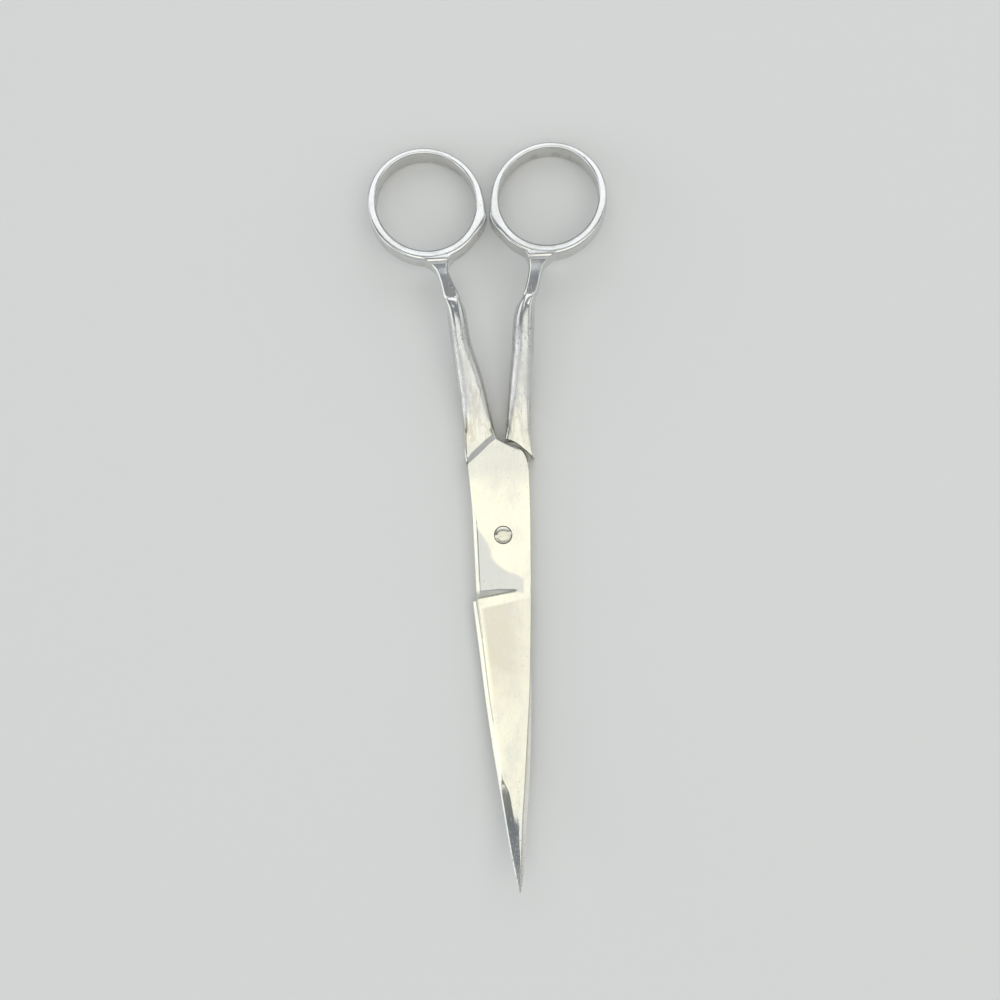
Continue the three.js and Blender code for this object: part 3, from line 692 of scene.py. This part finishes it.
def crease(rows, wanted, value):
    """Creases the edges at the rows for which wanted is true of both ends' places."""
    bpy.ops.mesh.select_mode(type="EDGE")
    bpy.ops.mesh.select_all(action="DESELECT")
    for row in rows:
        for vertex in row:
            for edge in vertex.link_edges:
                a, b = (v.co.y for v in edge.verts)
                if wanted(a, b):
                    edge.select_set(True)
    bpy.ops.transform.edge_crease(value=value)
    bpy.ops.mesh.select_mode(type="VERT")


def shank(name, side, outer_line, inner_line):
    neck_rows = [mix(CORNER_TOP, NECK_END, share) for share in NECK_SHARES]
    places = stations(SHANK_START, NECK_END, SHANK_STEP, neck_rows)
    sections = [shank_section(s, outer_line, inner_line, side) for s in places]
    piece, mesh, rows = loft(name, sections)
    neck_start, neck_stop = neck_rows[2], neck_rows[5]

    def along_root(a, b):
        return a != b and max(a, b) < ROOT_END

    def along_neck(a, b):
        return a != b and min(a, b) > neck_start - 0.1

    def across_neck_end(a, b):
        return a == b and min(abs(a - neck_start), abs(a - neck_stop)) < 0.05

    crease(rows, along_root, 0.5)
    crease(rows, along_neck, 0.6)
    crease(rows, across_neck_end, 0.5)
    crease([rows[0], rows[-1]], lambda a, b: a == b, 1)
    outward(piece)
    apply_modifier(piece, "SUBSURF", levels=2, render_levels=2)
    return piece


# The shoulder curves round the other half's corner at a small distance.
SHOULDER = [
    (1.0, 19.82), (1.54, 19.55), (2.5, 19.2), (3.35, 18.76), (4.3, 18), (5.05, 17.27),
    (5.83, 16.57), (6.45, 15.92), (7.15, 14.97), (8.2, 13.57),
]
BOLSTER_FOOT = [
    (-0.6, 20.9), (0.41, 19.72), (1.95, 18.6), (3.1, 17.5), (4.7, 16.1), (6.25, 14.85), (8, 14),
]
BOLSTER_TOP = [
    (-0.1, 22.2), (1.06, 21.2), (2.5, 19.85), (4.13, 18.2), (5.76, 16.75), (6.6, 15.45),
    (8.2, 14.3),
]


def file_away(piece, side, layers):
    """Takes off all on the pivot's side of a line in plan; the line changes with height."""
    sections = []
    for line, height in layers:
        # The file's outline closes well clear of the shank
        closing = [(line[-1][0] + 4, 2), (-6, 2), (-6, line[0][1] + 1)]
        sections.append([(-side * across, s, height) for across, s in (*line, *closing)])
    cutter, _, _ = loft("file", sections)
    outward(cutter)
    combine(piece, cutter, "DIFFERENCE")


def shape_shoulder(piece, side):
    if side < 0:
        file_away(piece, side, [(SHOULDER, FAR_OUT), (SHOULDER, -2 * PLATE_THICKNESS)])
        return
    file_away(piece, side, [(SHOULDER, -FAR_OUT), (SHOULDER, INNER_FACE + POCKET_STEP)])
    file_away(piece, side, [
        (BOLSTER_FOOT, -FAR_OUT), (BOLSTER_FOOT, PLATE_THICKNESS), (BOLSTER_TOP, SHANK_UP),
        (BOLSTER_TOP, FAR_OUT),
    ])


# Finger ring: one rounded section is spun round, then pulled into its oval and turned
def ring_point(angle):
    along = RING_LONG * math.cos(angle)
    across = RING_SHORT * math.sin(angle)
    return Vector((
        RING_ACROSS + along * math.sin(RING_TURN) + across * math.cos(RING_TURN),
        RING_ALONG + along * math.cos(RING_TURN) - across * math.sin(RING_TURN),
    ))


def ring_angle(across, s):
    """Place round the ring's oval of a point near its band."""
    x = across - RING_ACROSS
    y = s - RING_ALONG
    along = x * math.sin(RING_TURN) + y * math.cos(RING_TURN)
    sideways = x * math.cos(RING_TURN) - y * math.sin(RING_TURN)
    return math.atan2(sideways / RING_SHORT, along / RING_LONG)


def finger_ring(name, side):
    mean = (RING_LONG + RING_SHORT) / 2
    bpy.ops.object.select_all(action="DESELECT")
    bpy.ops.mesh.primitive_plane_add(size=1, location=(mean, 0, 0), rotation=(math.pi / 2, 0, 0))
    piece = bpy.context.object
    piece.name = name
    piece.scale = (RING_BAND, 2 * RING_HALF_HEIGHT, 1)
    bpy.ops.object.transform_apply(location=True, rotation=True, scale=True)
    enter(piece)
    bpy.ops.mesh.select_all(action="SELECT")
    bpy.ops.mesh.bevel(offset=RING_ROUNDING, segments=6, affect="VERTICES")
    bpy.ops.mesh.select_all(action="SELECT")
    bpy.ops.mesh.delete(type="ONLY_FACE")
    bpy.ops.mesh.select_all(action="SELECT")
    bpy.ops.mesh.spin(steps=RING_STEPS, angle=2 * math.pi, center=(0, 0, 0), axis=(0, 0, 1))
    bpy.ops.mesh.select_all(action="SELECT")
    bpy.ops.mesh.remove_doubles(threshold=0.001)
    outward(piece)
    piece.scale = (RING_SHORT / mean, RING_LONG / mean, 1)
    piece.rotation_euler.z = side * RING_TURN
    piece.location = (-side * RING_ACROSS, RING_ALONG, 0)
    bpy.ops.object.transform_apply(location=True, rotation=True, scale=True)
    thin_band_and_stop(piece, side)
    return piece


def thin_band_and_stop(piece, side):
    """The band thins towards its far end, and its inner side stands out in the closing stop."""
    mesh = enter(piece)
    for vertex in list(mesh.verts):
        across, s = -side * vertex.co.x, vertex.co.y
        middle = ring_point(ring_angle(across, s))
        away = (middle - Vector((RING_ACROSS, RING_ALONG))).normalized()
        out = (Vector((across, s)) - middle).dot(away) / (RING_BAND / 2)
        move = Vector((0, -out * RING_BAND_CHANGE / 2))
        outer = middle + away * (RING_BAND - RING_BAND_CHANGE * away.y) / 2
        reach = clamp(1 - abs(outer.y - STOP_ALONG) / STOP_WIDTH, 0, 1)
        if away.x < 0 and out > 0:
            move.x += out * (STOP_GAP / 2 - outer.x) * reach ** STOP_CURVE
        drag(mesh, vertex, (-side * move.x, move.y, 0))
    outward(piece)


# Bending and fitting
def side_profile():
    """Centre line of the finished scissors seen from the side, as (along, height)."""
    sweep = range(-BLADE_TIP - LIFT_START, -1, -1)
    points = [(-LIFT_START - past, past ** 2 / (2 * LIFT_RADIUS)) for past in sweep]
    points.append((0, 0))
    bends = (
        (BEND_START, 0), (CLIMB_LENGTH, CLIMB), (CLIMB_RUN, 0), (DIP_LENGTH, -CLIMB - RING_DIP),
        (RING_RUN, 0),
    )
    y, z, tilt = 0, 0, 0
    for length, turn in bends:
        for _ in range(length):
            middle = tilt + turn / length / 2
            y += math.cos(middle)
            z += math.sin(middle)
            tilt += turn / length
            points.append((y, z))
    return points


def bend_forging(piece):
    points = side_profile()
    start = arc_place(BLADE_TIP)
    line = bpy.data.curves.new("side profile", "CURVE")
    line.dimensions = "3D"
    line.twist_mode = "Z_UP"
    spline = line.splines.new("POLY")
    spline.points.add(len(points) - 1)
    for point, (y, z) in zip(spline.points, points):
        point.co = (0, y - start, z + MID_HEIGHT, 1)
        point.tilt = math.pi / 2
    former = bpy.data.objects.new("bending former", line)
    bpy.context.collection.objects.link(former)
    former.location.y = start
    bpy.context.view_layer.update()
    apply_modifier(piece, "CURVE", object=former, deform_axis="POS_Y")
    bpy.data.objects.remove(former)


def turned_piece(name, profile):
    """A round piece, extruded and widened from one (radius, height) to the next."""
    bpy.ops.object.select_all(action="DESELECT")
    radius, height = profile[0]
    bpy.ops.mesh.primitive_circle_add(
        vertices=ROUND_STEPS, radius=radius, fill_type="NGON", location=(0, 0, height))
    piece = bpy.context.object
    piece.name = name
    bpy.ops.object.transform_apply(location=True)
    enter(piece)
    bpy.ops.mesh.select_all(action="SELECT")
    for (last_radius, last_height), (radius, height) in zip(profile, profile[1:]):
        step = (0, 0, height - last_height)
        bpy.ops.mesh.extrude_region_move(TRANSFORM_OT_translate={"value": step})
        share = radius / last_radius
        bpy.ops.transform.resize(value=(share, share, 1), center_override=(0, 0, height))
    outward(piece)
    return piece


FACE_HEIGHT = MID_HEIGHT + PLATE_THICKNESS
HEAD_CONE_END = FACE_HEIGHT - SCREW_HEAD_RIM - (SCREW_HEAD_RADIUS - SCREW_RADIUS)


def upper_drill():
    hole = SCREW_RADIUS + RUNNING_CLEARANCE
    seat = SCREW_HEAD_RADIUS + SEAT_CLEARANCE
    seat_floor = FACE_HEIGHT - SCREW_HEAD_RIM - SEAT_CLEARANCE
    return turned_piece("drill", [
        (hole, MID_HEIGHT - 1), (hole, seat_floor - (seat - hole)), (seat, seat_floor),
        (seat, FACE_HEIGHT + 1),
    ])


def lower_drill():
    hole = SCREW_RADIUS + THREAD_CLEARANCE
    return turned_piece("drill", [(hole, -1), (hole, MID_HEIGHT + 1)])


def finish_piece(piece, body, node, material, sharp_angle):
    enter(piece)
    bpy.ops.mesh.select_all(action="SELECT")
    bpy.ops.transform.resize(value=(MM, MM, MM), center_override=(0, 0, 0))
    leave()
    piece.data.materials.clear()
    piece.data.materials.append(material)
    bpy.ops.object.shade_smooth_by_angle(angle=math.radians(sharp_angle))
    apply_modifier(piece, "WEIGHTED_NORMAL", keep_sharp=True, weight=60)
    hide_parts(node)
    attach(piece, body)


def half(name, side, lines, drill, material):
    edge, plate_edge, corner_end, outer_line, inner_line = lines
    piece = blade_and_joint(name, side, edge, plate_edge, corner_end)
    handle = shank("shank", side, outer_line, inner_line)
    shape_shoulder(handle, side)
    combine(handle, finger_ring("ring", side), "UNION")
    combine(piece, handle, "UNION")
    bend_forging(piece)
    combine(piece, drill, "DIFFERENCE")
    body = "upper" if side > 0 else "lower"
    finish_piece(piece, body, body + "_half", material, sharp_angle=24)


def pivot_screw(material):
    profile = [
        (SCREW_RADIUS - SCREW_TIP, SCREW_FOOT), (SCREW_RADIUS, SCREW_TIP),
        (SCREW_RADIUS, HEAD_CONE_END), (SCREW_HEAD_RADIUS, FACE_HEIGHT - SCREW_HEAD_RIM),
        (SCREW_HEAD_RADIUS, FACE_HEIGHT - SCREW_HEAD_SIDE),
    ]
    for share in CROWN_SHARES:
        height = FACE_HEIGHT + SCREW_DOME * (1 - share ** SCREW_CROWN)
        profile.append((SCREW_HEAD_RADIUS * share, height))
    piece = turned_piece("slotted_pivot_screw", profile)
    bpy.ops.object.select_all(action="DESELECT")
    top = FACE_HEIGHT + SCREW_DOME
    bpy.ops.mesh.primitive_cube_add(size=1, location=(0, 0, top), rotation=(0, 0, SLOT_TURN))
    saw = bpy.context.object
    saw.scale = (3 * SCREW_HEAD_RADIUS, SLOT_WIDTH, 2 * SLOT_DEPTH)
    bpy.ops.object.transform_apply(location=True, rotation=True, scale=True)
    combine(piece, saw, "DIFFERENCE")
    apply_modifier(piece, "BEVEL", limit_method="ANGLE", angle_limit=math.radians(35),
                   width=SCREW_HEAD_BREAK, segments=2)
    finish_piece(piece, "lower", "pivot_screw", material, sharp_angle=40)


# Finishes. Colours are linear, and every place on the scissors is in millimetres.
BUFFED_TONE = (0.77, 0.77, 0.755)
# Tones for the stains and for the painted reflections and shade
STAIN_AND_PAINTED_LIGHT_TONES = (
    ("Warm", (0.825, 0.805, 0.665)), ("Brownish Reflection", (0.6, 0.565, 0.475)), ("Dark Reflection", (0.64, 0.655, 0.64)),
    ("Joint Reflection", (0.55, 0.555, 0.545)), ("Ring Reflection", (0.58, 0.58, 0.57)), ("Bare Steel and Shade", (0.56, 0.56, 0.545)),
    ("Gap Shade", (0.4, 0.395, 0.375)), ("Residue", (0.5, 0.46, 0.34)),
)
HAZE_TONE = (0.62, 0.61, 0.58)
HAZE_SHARE = 0.6
PIT_TONE = (0.36, 0.35, 0.33)
SLANT = math.radians(38)
BENT_RING_ALONG = 67.5             # where the middle of a ring comes to lie once it is bent


def new_group(name, inputs, outputs):
    """An empty group of nodes with number sockets: inputs by name and value, outputs by name."""
    group = bpy.data.node_groups.new(name, "ShaderNodeTree")
    for label, value in inputs:
        socket = group.interface.new_socket(label, in_out="INPUT", socket_type="NodeSocketFloat")
        socket.default_value = value
    for label in outputs:
        group.interface.new_socket(label, in_out="OUTPUT", socket_type="NodeSocketFloat")
    entry = group.nodes.new("NodeGroupInput")
    result = group.nodes.new("NodeGroupOutput")
    return group, entry.outputs, result.inputs


def stretched(group, scale, turn=(0, 0, 0)):
    """Object coordinates, squeezed so that a pattern runs long in one direction."""
    place = group.nodes.new("ShaderNodeTexCoord")
    squeeze = group.nodes.new("ShaderNodeMapping")
    squeeze.inputs["Scale"].default_value = scale
    squeeze.inputs["Rotation"].default_value = turn
    group.links.new(place.outputs["Object"], squeeze.inputs["Vector"])
    return squeeze.outputs["Vector"]


def noise(group, vector, scale, detail, roughness=0.5):
    texture = group.nodes.new("ShaderNodeTexNoise")
    texture.inputs["Scale"].default_value = scale
    texture.inputs["Detail"].default_value = detail
    texture.inputs["Roughness"].default_value = roughness
    group.links.new(vector, texture.inputs["Vector"])
    return texture.outputs["Fac"]


def remap(group, value, low, high, to_low, to_high):
    ramp = group.nodes.new("ShaderNodeMapRange")
    ramp.inputs["From Min"].default_value = low
    ramp.inputs["From Max"].default_value = high
    ramp.inputs["To Min"].default_value = to_low
    ramp.inputs["To Max"].default_value = to_high
    group.links.new(value, ramp.inputs["Value"])
    return ramp.outputs["Result"]


def grows(group, value, start, end):
    """0 up to the start, 1 from the end on."""
    return remap(group, value, start, end, 0, 1)


def fades(group, value, start, end):
    """1 up to the start, 0 from the end on."""
    return remap(group, value, start, end, 1, 0)


def calculate(group, operation, *values):
    node = group.nodes.new("ShaderNodeMath")
    node.operation = operation
    for socket, value in zip(node.inputs, values):
        if isinstance(value, (int, float)):
            socket.default_value = value
        else:
            group.links.new(value, socket)
    return node.outputs["Value"]


def product(group, first, *others):
    for other in others:
        first = calculate(group, "MULTIPLY", first, other)
    return first


def total(group, first, *others):
    for other in others:
        first = calculate(group, "ADD", first, other)
    return first


def unsigned(group, value):
    """The value without its minus sign."""
    return calculate(group, "ABSOLUTE", value)


def place_in_mm(group):
    """The three Object coordinates in millimetres."""
    parts = group.nodes.new("ShaderNodeSeparateXYZ")
    group.links.new(stretched(group, (1 / MM, 1 / MM, 1 / MM)), parts.inputs["Vector"])
    return parts.outputs


def polishing_marks():
    """What wear and hand polishing leave on plated steel.

    Haze is a cloudy dulling, pits are small dark specks, and the shanks are brushed to a satin
    where the joint, the blades and the rings are buffed bright.
    """
    group, given, result = new_group(
        "polishing marks",
        (("Scratches", 1.0), ("Ripples", 1.0), ("Satin", 1.0), ("Base Roughness", 0.12)),
        ("Roughness", "Height", "Haze", "Pits"),
    )
    lengthwise = stretched(group, (1, 0.05, 1))
    slanting = stretched(group, (1, 0.12, 1), (0, 0, SLANT))
    even = stretched(group, (1, 0.5, 1))
    plain = stretched(group, (1, 1, 1))
    along = place_in_mm(group)["Y"]

    hair = grows(group, noise(group, lengthwise, 5200, 2), 0.56, 0.72)
    cross_hair = grows(group, noise(group, slanting, 3800, 2), 0.62, 0.74)
    hair = calculate(group, "MAXIMUM", hair, product(group, cross_hair, 0.6))
    hair = product(group, hair, given["Scratches"])
    haze = grows(group, noise(group, even, 150, 7, 0.68), 0.38, 0.64)
    worn_end = remap(group, along, -70, -56, 0.16, 0)
    near_neck = product(group, remap(group, along, 32, 39, 0, 0.09), fades(group, along, 41, 45))
    specks = total(group, noise(group, plain, 2900, 3, 0.6), worn_end, near_neck)
    pits = grows(group, specks, 0.66, 0.74)
    ripple = noise(group, even, 130, 1.5)
    shanks = product(group, grows(group, along, 18, 26), fades(group, along, 41, 45.5))
    brushed = product(group, shanks, given["Satin"])
    streak = noise(group, lengthwise, 1500, 3, 0.6)

    hazy = product(group, haze, 0.1)
    scratched = product(group, hair, 0.1)
    pitted = product(group, pits, 0.2)
    satin = product(group, brushed, remap(group, streak, 0.3, 0.7, 0.06, 0.3))
    roughness = total(group, given["Base Roughness"], hazy, scratched, pitted, satin)
    swell = product(group, ripple, given["Ripples"], 0.06)
    fine = product(group, hair, -0.002)
    grain = product(group, streak, brushed, 0.02)
    hole = product(group, pits, -0.006)
    height = total(group, swell, fine, grain, hole)
    marks = {"Roughness": roughness, "Height": height, "Haze": haze, "Pits": pits}
    for label, value in marks.items():
        group.links.new(value, result[label])
    return group


def plating_tints_and_painted_light():
    """Tints of the plating, and reflections and shade painted into its colour.

    Warm is the cream of the buffed joint and blades and Residue the brown lines of dried polish on
    the shanks. The rest is painted light: Brownish Reflection on the upper part of a blade, Dark
    Reflection towards the blade's end and at the neck end of the shanks, Joint Reflection on the
    upper joint's face beside the notch and towards its corner, Ring Reflection on the walls of the
    finger rings, Gap Shade in the gap at the shoulder, and Bare Steel and Shade on the meeting
    faces, which are bare ground steel and are also darkened as shade under the other blade.
    """
    group, given, result = new_group(
        "plating tints and painted light", (("Patch", 1.0),), (*(label for label, _ in STAIN_AND_PAINTED_LIGHT_TONES), "Dullness"))
    across, along, height = (place_in_mm(group)[axis] for axis in "XYZ")
    plain = stretched(group, (1, 1, 1))
    broad = remap(group, noise(group, plain, 95, 4, 0.6), 0, 1, -1, 1)
    ragged = remap(group, noise(group, plain, 420, 4, 0.6), 0, 1, -1, 1)

    def shifted(value, size, by=broad):
        return total(group, value, product(group, by, size))

    def tinted(label, value):
        group.links.new(value, result[label])

    tinted("Warm", fades(group, shifted(along, 6), 16, 28))
    # Painted brownish reflection on the upper part of a blade's face, clear of its cutting edge
    foot = calculate(group, "SUBTRACT", along, product(group, across, 0.18))
    beside_edge = total(group, across, product(group, along, 0.076), 6.85)
    tinted("Brownish Reflection", product(
        group, remap(group, shifted(along, 9), -34, -26, 0.25, 1), fades(group, foot, -14, -13.5),
        remap(group, shifted(across, 6), 1, 4.5, 1, 0.5), grows(group, beside_edge, 0.4, 1.2)))
    # Painted dark reflections on the shanks near their necks and on the blades towards their tips
    near_neck = product(
        group, remap(group, shifted(along, 5), 32, 40, 0, 0.9), fades(group, along, 43, 46))
    dark_tip_reflection = fades(group, shifted(along, 9), -60, -50)
    tinted("Dark Reflection", calculate(group, "MAXIMUM", near_neck, dark_tip_reflection))

    # The patch of painted grey reflection lies between three slanting lines on the upper joint's
    # face
    beside = total(group, across, product(group, along, 0.25), 3.65)
    above = total(group, across, product(group, along, 0.85), 4.15)
    below = total(group, along, product(group, across, 0.5), 6.9)
    patch = calculate(group, "SMOOTH_MAX", beside, above, 2)
    patch = calculate(group, "SMOOTH_MIN", patch, below, 2.5)
    patch = shifted(shifted(patch, 1.2), 0.35, ragged)
    on_top = product(group, grows(group, height, 4, 4.12), given["Patch"])
    patch = product(
        group, on_top, fades(group, patch, -0.3, 0.35), grows(group, along, -12.2, -11.6),
        fades(group, shifted(across, 1), 3.6, 4.1))
    # Painted grey reflection on the joint's face towards its corner
    corner = product(
        group, on_top, remap(group, shifted(along, 5), 10.5, 14, 0, 0.6),
        fades(group, along, 18, 20))
    tinted("Joint Reflection", calculate(group, "MAXIMUM", patch, corner))

    # Height above or below the face on which the halves meet, which sweeps up with the blades
    sweep = calculate(group, "SUBTRACT", -LIFT_START, along)
    sweep = calculate(group, "MAXIMUM", sweep, 0)
    sweep = calculate(group, "DIVIDE", product(group, sweep, sweep), 2 * LIFT_RADIUS)
    lift = calculate(group, "SUBTRACT", height, MID_HEIGHT)
    depth = unsigned(group, calculate(group, "SUBTRACT", lift, sweep))
    # The meeting faces: greyer as bare ground steel, and darker still as painted shade under the
    # other blade
    ground = product(group, fades(group, depth, 0.2, 0.26), fades(group, along, -12, -11))
    tinted("Bare Steel and Shade", ground)
    # Painted shade in the gap at the shoulder, darkest near the face on which the halves meet
    off_centre = total(group, unsigned(group, across), product(group, along, 0.17))
    gap_shade = product(
        group, fades(group, depth, 0.4, 0.6), grows(group, along, 12.4, 13.2),
        fades(group, along, 20.5, 22), fades(group, off_centre, 9, 9.3))
    tinted("Gap Shade", gap_shade)

    watermark = noise(group, stretched(group, (1, 0.14, 1)), 620, 3, 0.55)
    watermark = unsigned(group, calculate(group, "SUBTRACT", watermark, 0.5))
    residue = product(
        group, remap(group, watermark, 0.006, 0.05, 0.6, 0), grows(group, along, 17, 20),
        fades(group, shifted(along, 10), 26, 36))
    smear_across = unsigned(group, total(group, shifted(across, 1.6, ragged), 5.5))
    smear_along = unsigned(group, calculate(group, "SUBTRACT", shifted(along, 1.5), 21))
    smear = product(
        group, remap(group, smear_across, 0.3, 0.8, 0.6, 0), fades(group, smear_along, 1.4, 2.8),
        given["Patch"])
    tinted("Residue", calculate(group, "MAXIMUM", residue, smear))

    # Painted dark reflections on the walls of the finger rings, inside and out
    ring_reflection = reflections_round_rings(group, across, along)
    tinted("Ring Reflection", ring_reflection)
    worn_tip = remap(group, shifted(along, 5, ragged), -70, -60, 0.05, 0)
    tinted("Dullness", total(
        group, product(group, ring_reflection, 0.12), product(group, ground, 0.12),
        product(group, gap_shade, 0.3), worn_tip))
    return group


def reflections_round_rings(group, across, along):
    """Painted dark reflections inside and outside the finger rings, measured round their turned
    ovals.
    """
    out = calculate(group, "SUBTRACT", unsigned(group, across), RING_ACROSS)
    up = calculate(group, "SUBTRACT", along, BENT_RING_ALONG)
    sine, cosine = math.sin(RING_TURN), math.cos(RING_TURN)
    squares = []
    for out_part, up_part, radius in ((sine, cosine, RING_LONG), (cosine, -sine, RING_SHORT)):
        turned = total(group, product(group, out, out_part), product(group, up, up_part))
        share = calculate(group, "DIVIDE", turned, radius)
        squares.append(product(group, share, share))
    reach = calculate(group, "SQRT", total(group, *squares))
    outside = grows(group, reach, 1.06, 1.085)
    inside = fades(group, reach, 0.92, 0.935)
    reflection_noise = noise(group, stretched(group, (1, 1, 0.5)), 330, 4, 0.6)
    return product(
        group, calculate(group, "MAXIMUM", outside, inside), remap(group, reflection_noise, 0.4, 0.6, 0.2, 1),
        grows(group, along, 55, 56.5))


def use_group(tree, group, settings):
    node = tree.nodes.new("ShaderNodeGroup")
    node.node_tree = group
    for label, value in settings.items():
        node.inputs[label].default_value = value
    return node.outputs


def blend_colour(tree, factor, first, second):
    tint = tree.nodes.new("ShaderNodeMix")
    tint.data_type = "RGBA"
    tree.links.new(factor, tint.inputs["Factor"])
    for socket, colour in ((tint.inputs["A"], first), (tint.inputs["B"], second)):
        if isinstance(colour, tuple):
            socket.default_value = colour
        else:
            tree.links.new(colour, socket)
    return tint.outputs["Result"]


def plated_steel(name, shade, patch, scratches, ripples, satin, roughness):
    """Nickel-plated steel; shade darkens the whole piece a little."""
    material = bpy.data.materials.new(name)
    material.use_nodes = True
    tree = material.node_tree
    shader = tree.nodes["Principled BSDF"]
    shader.inputs["Metallic"].default_value = 1.0
    wear = use_group(tree, MARKS, {
        "Scratches": scratches, "Ripples": ripples, "Satin": satin, "Base Roughness": roughness,
    })
    tints_and_light = use_group(tree, TINTS_AND_PAINTED_LIGHT, {"Patch": patch})

    def shaded(tone):
        return (*(part * shade for part in tone), 1)

    colour = shaded(BUFFED_TONE)
    # Stains, painted reflections and painted shade, laid over the buffed tone
    for label, tone in STAIN_AND_PAINTED_LIGHT_TONES:
        colour = blend_colour(tree, tints_and_light[label], colour, shaded(tone))
    hazy = product(tree, wear["Haze"], HAZE_SHARE)
    colour = blend_colour(tree, hazy, colour, shaded(HAZE_TONE))
    colour = blend_colour(tree, wear["Pits"], colour, shaded(PIT_TONE))
    tree.links.new(colour, shader.inputs["Base Color"])
    dulled = total(tree, wear["Roughness"], tints_and_light["Dullness"])
    tree.links.new(dulled, shader.inputs["Roughness"])
    bump = tree.nodes.new("ShaderNodeBump")
    bump.inputs["Distance"].default_value = MM
    tree.links.new(wear["Height"], bump.inputs["Height"])
    tree.links.new(bump.outputs["Normal"], shader.inputs["Normal"])
    return material


bpy.context.scene.view_settings.view_transform = "Standard"
set_camera()
set_studio()
set_floor()

MARKS = polishing_marks()
TINTS_AND_PAINTED_LIGHT = plating_tints_and_painted_light()
upper_plate = plated_steel(
    "plated steel, upper half", shade=1, patch=1, scratches=1, ripples=0.7, satin=1, roughness=0.1)
lower_plate = plated_steel(
    "plated steel, lower half", shade=0.99, patch=0, scratches=1, ripples=0.7, satin=1,
    roughness=0.11)
screw_steel = plated_steel(
    "screw steel", shade=0.86, patch=0, scratches=1.4, ripples=0.5, satin=0, roughness=0.18)

UPPER_LINES = (upper_edge, upper_plate_edge, 1, upper_outer, upper_inner)
LOWER_LINES = (lower_edge, lower_plate_edge, LOWER_CORNER_END, lower_outer, lower_inner)
half("upper_half_forging", 1, UPPER_LINES, upper_drill(), upper_plate)
half("lower_half_forging", -1, LOWER_LINES, lower_drill(), lower_plate)
pivot_screw(screw_steel)
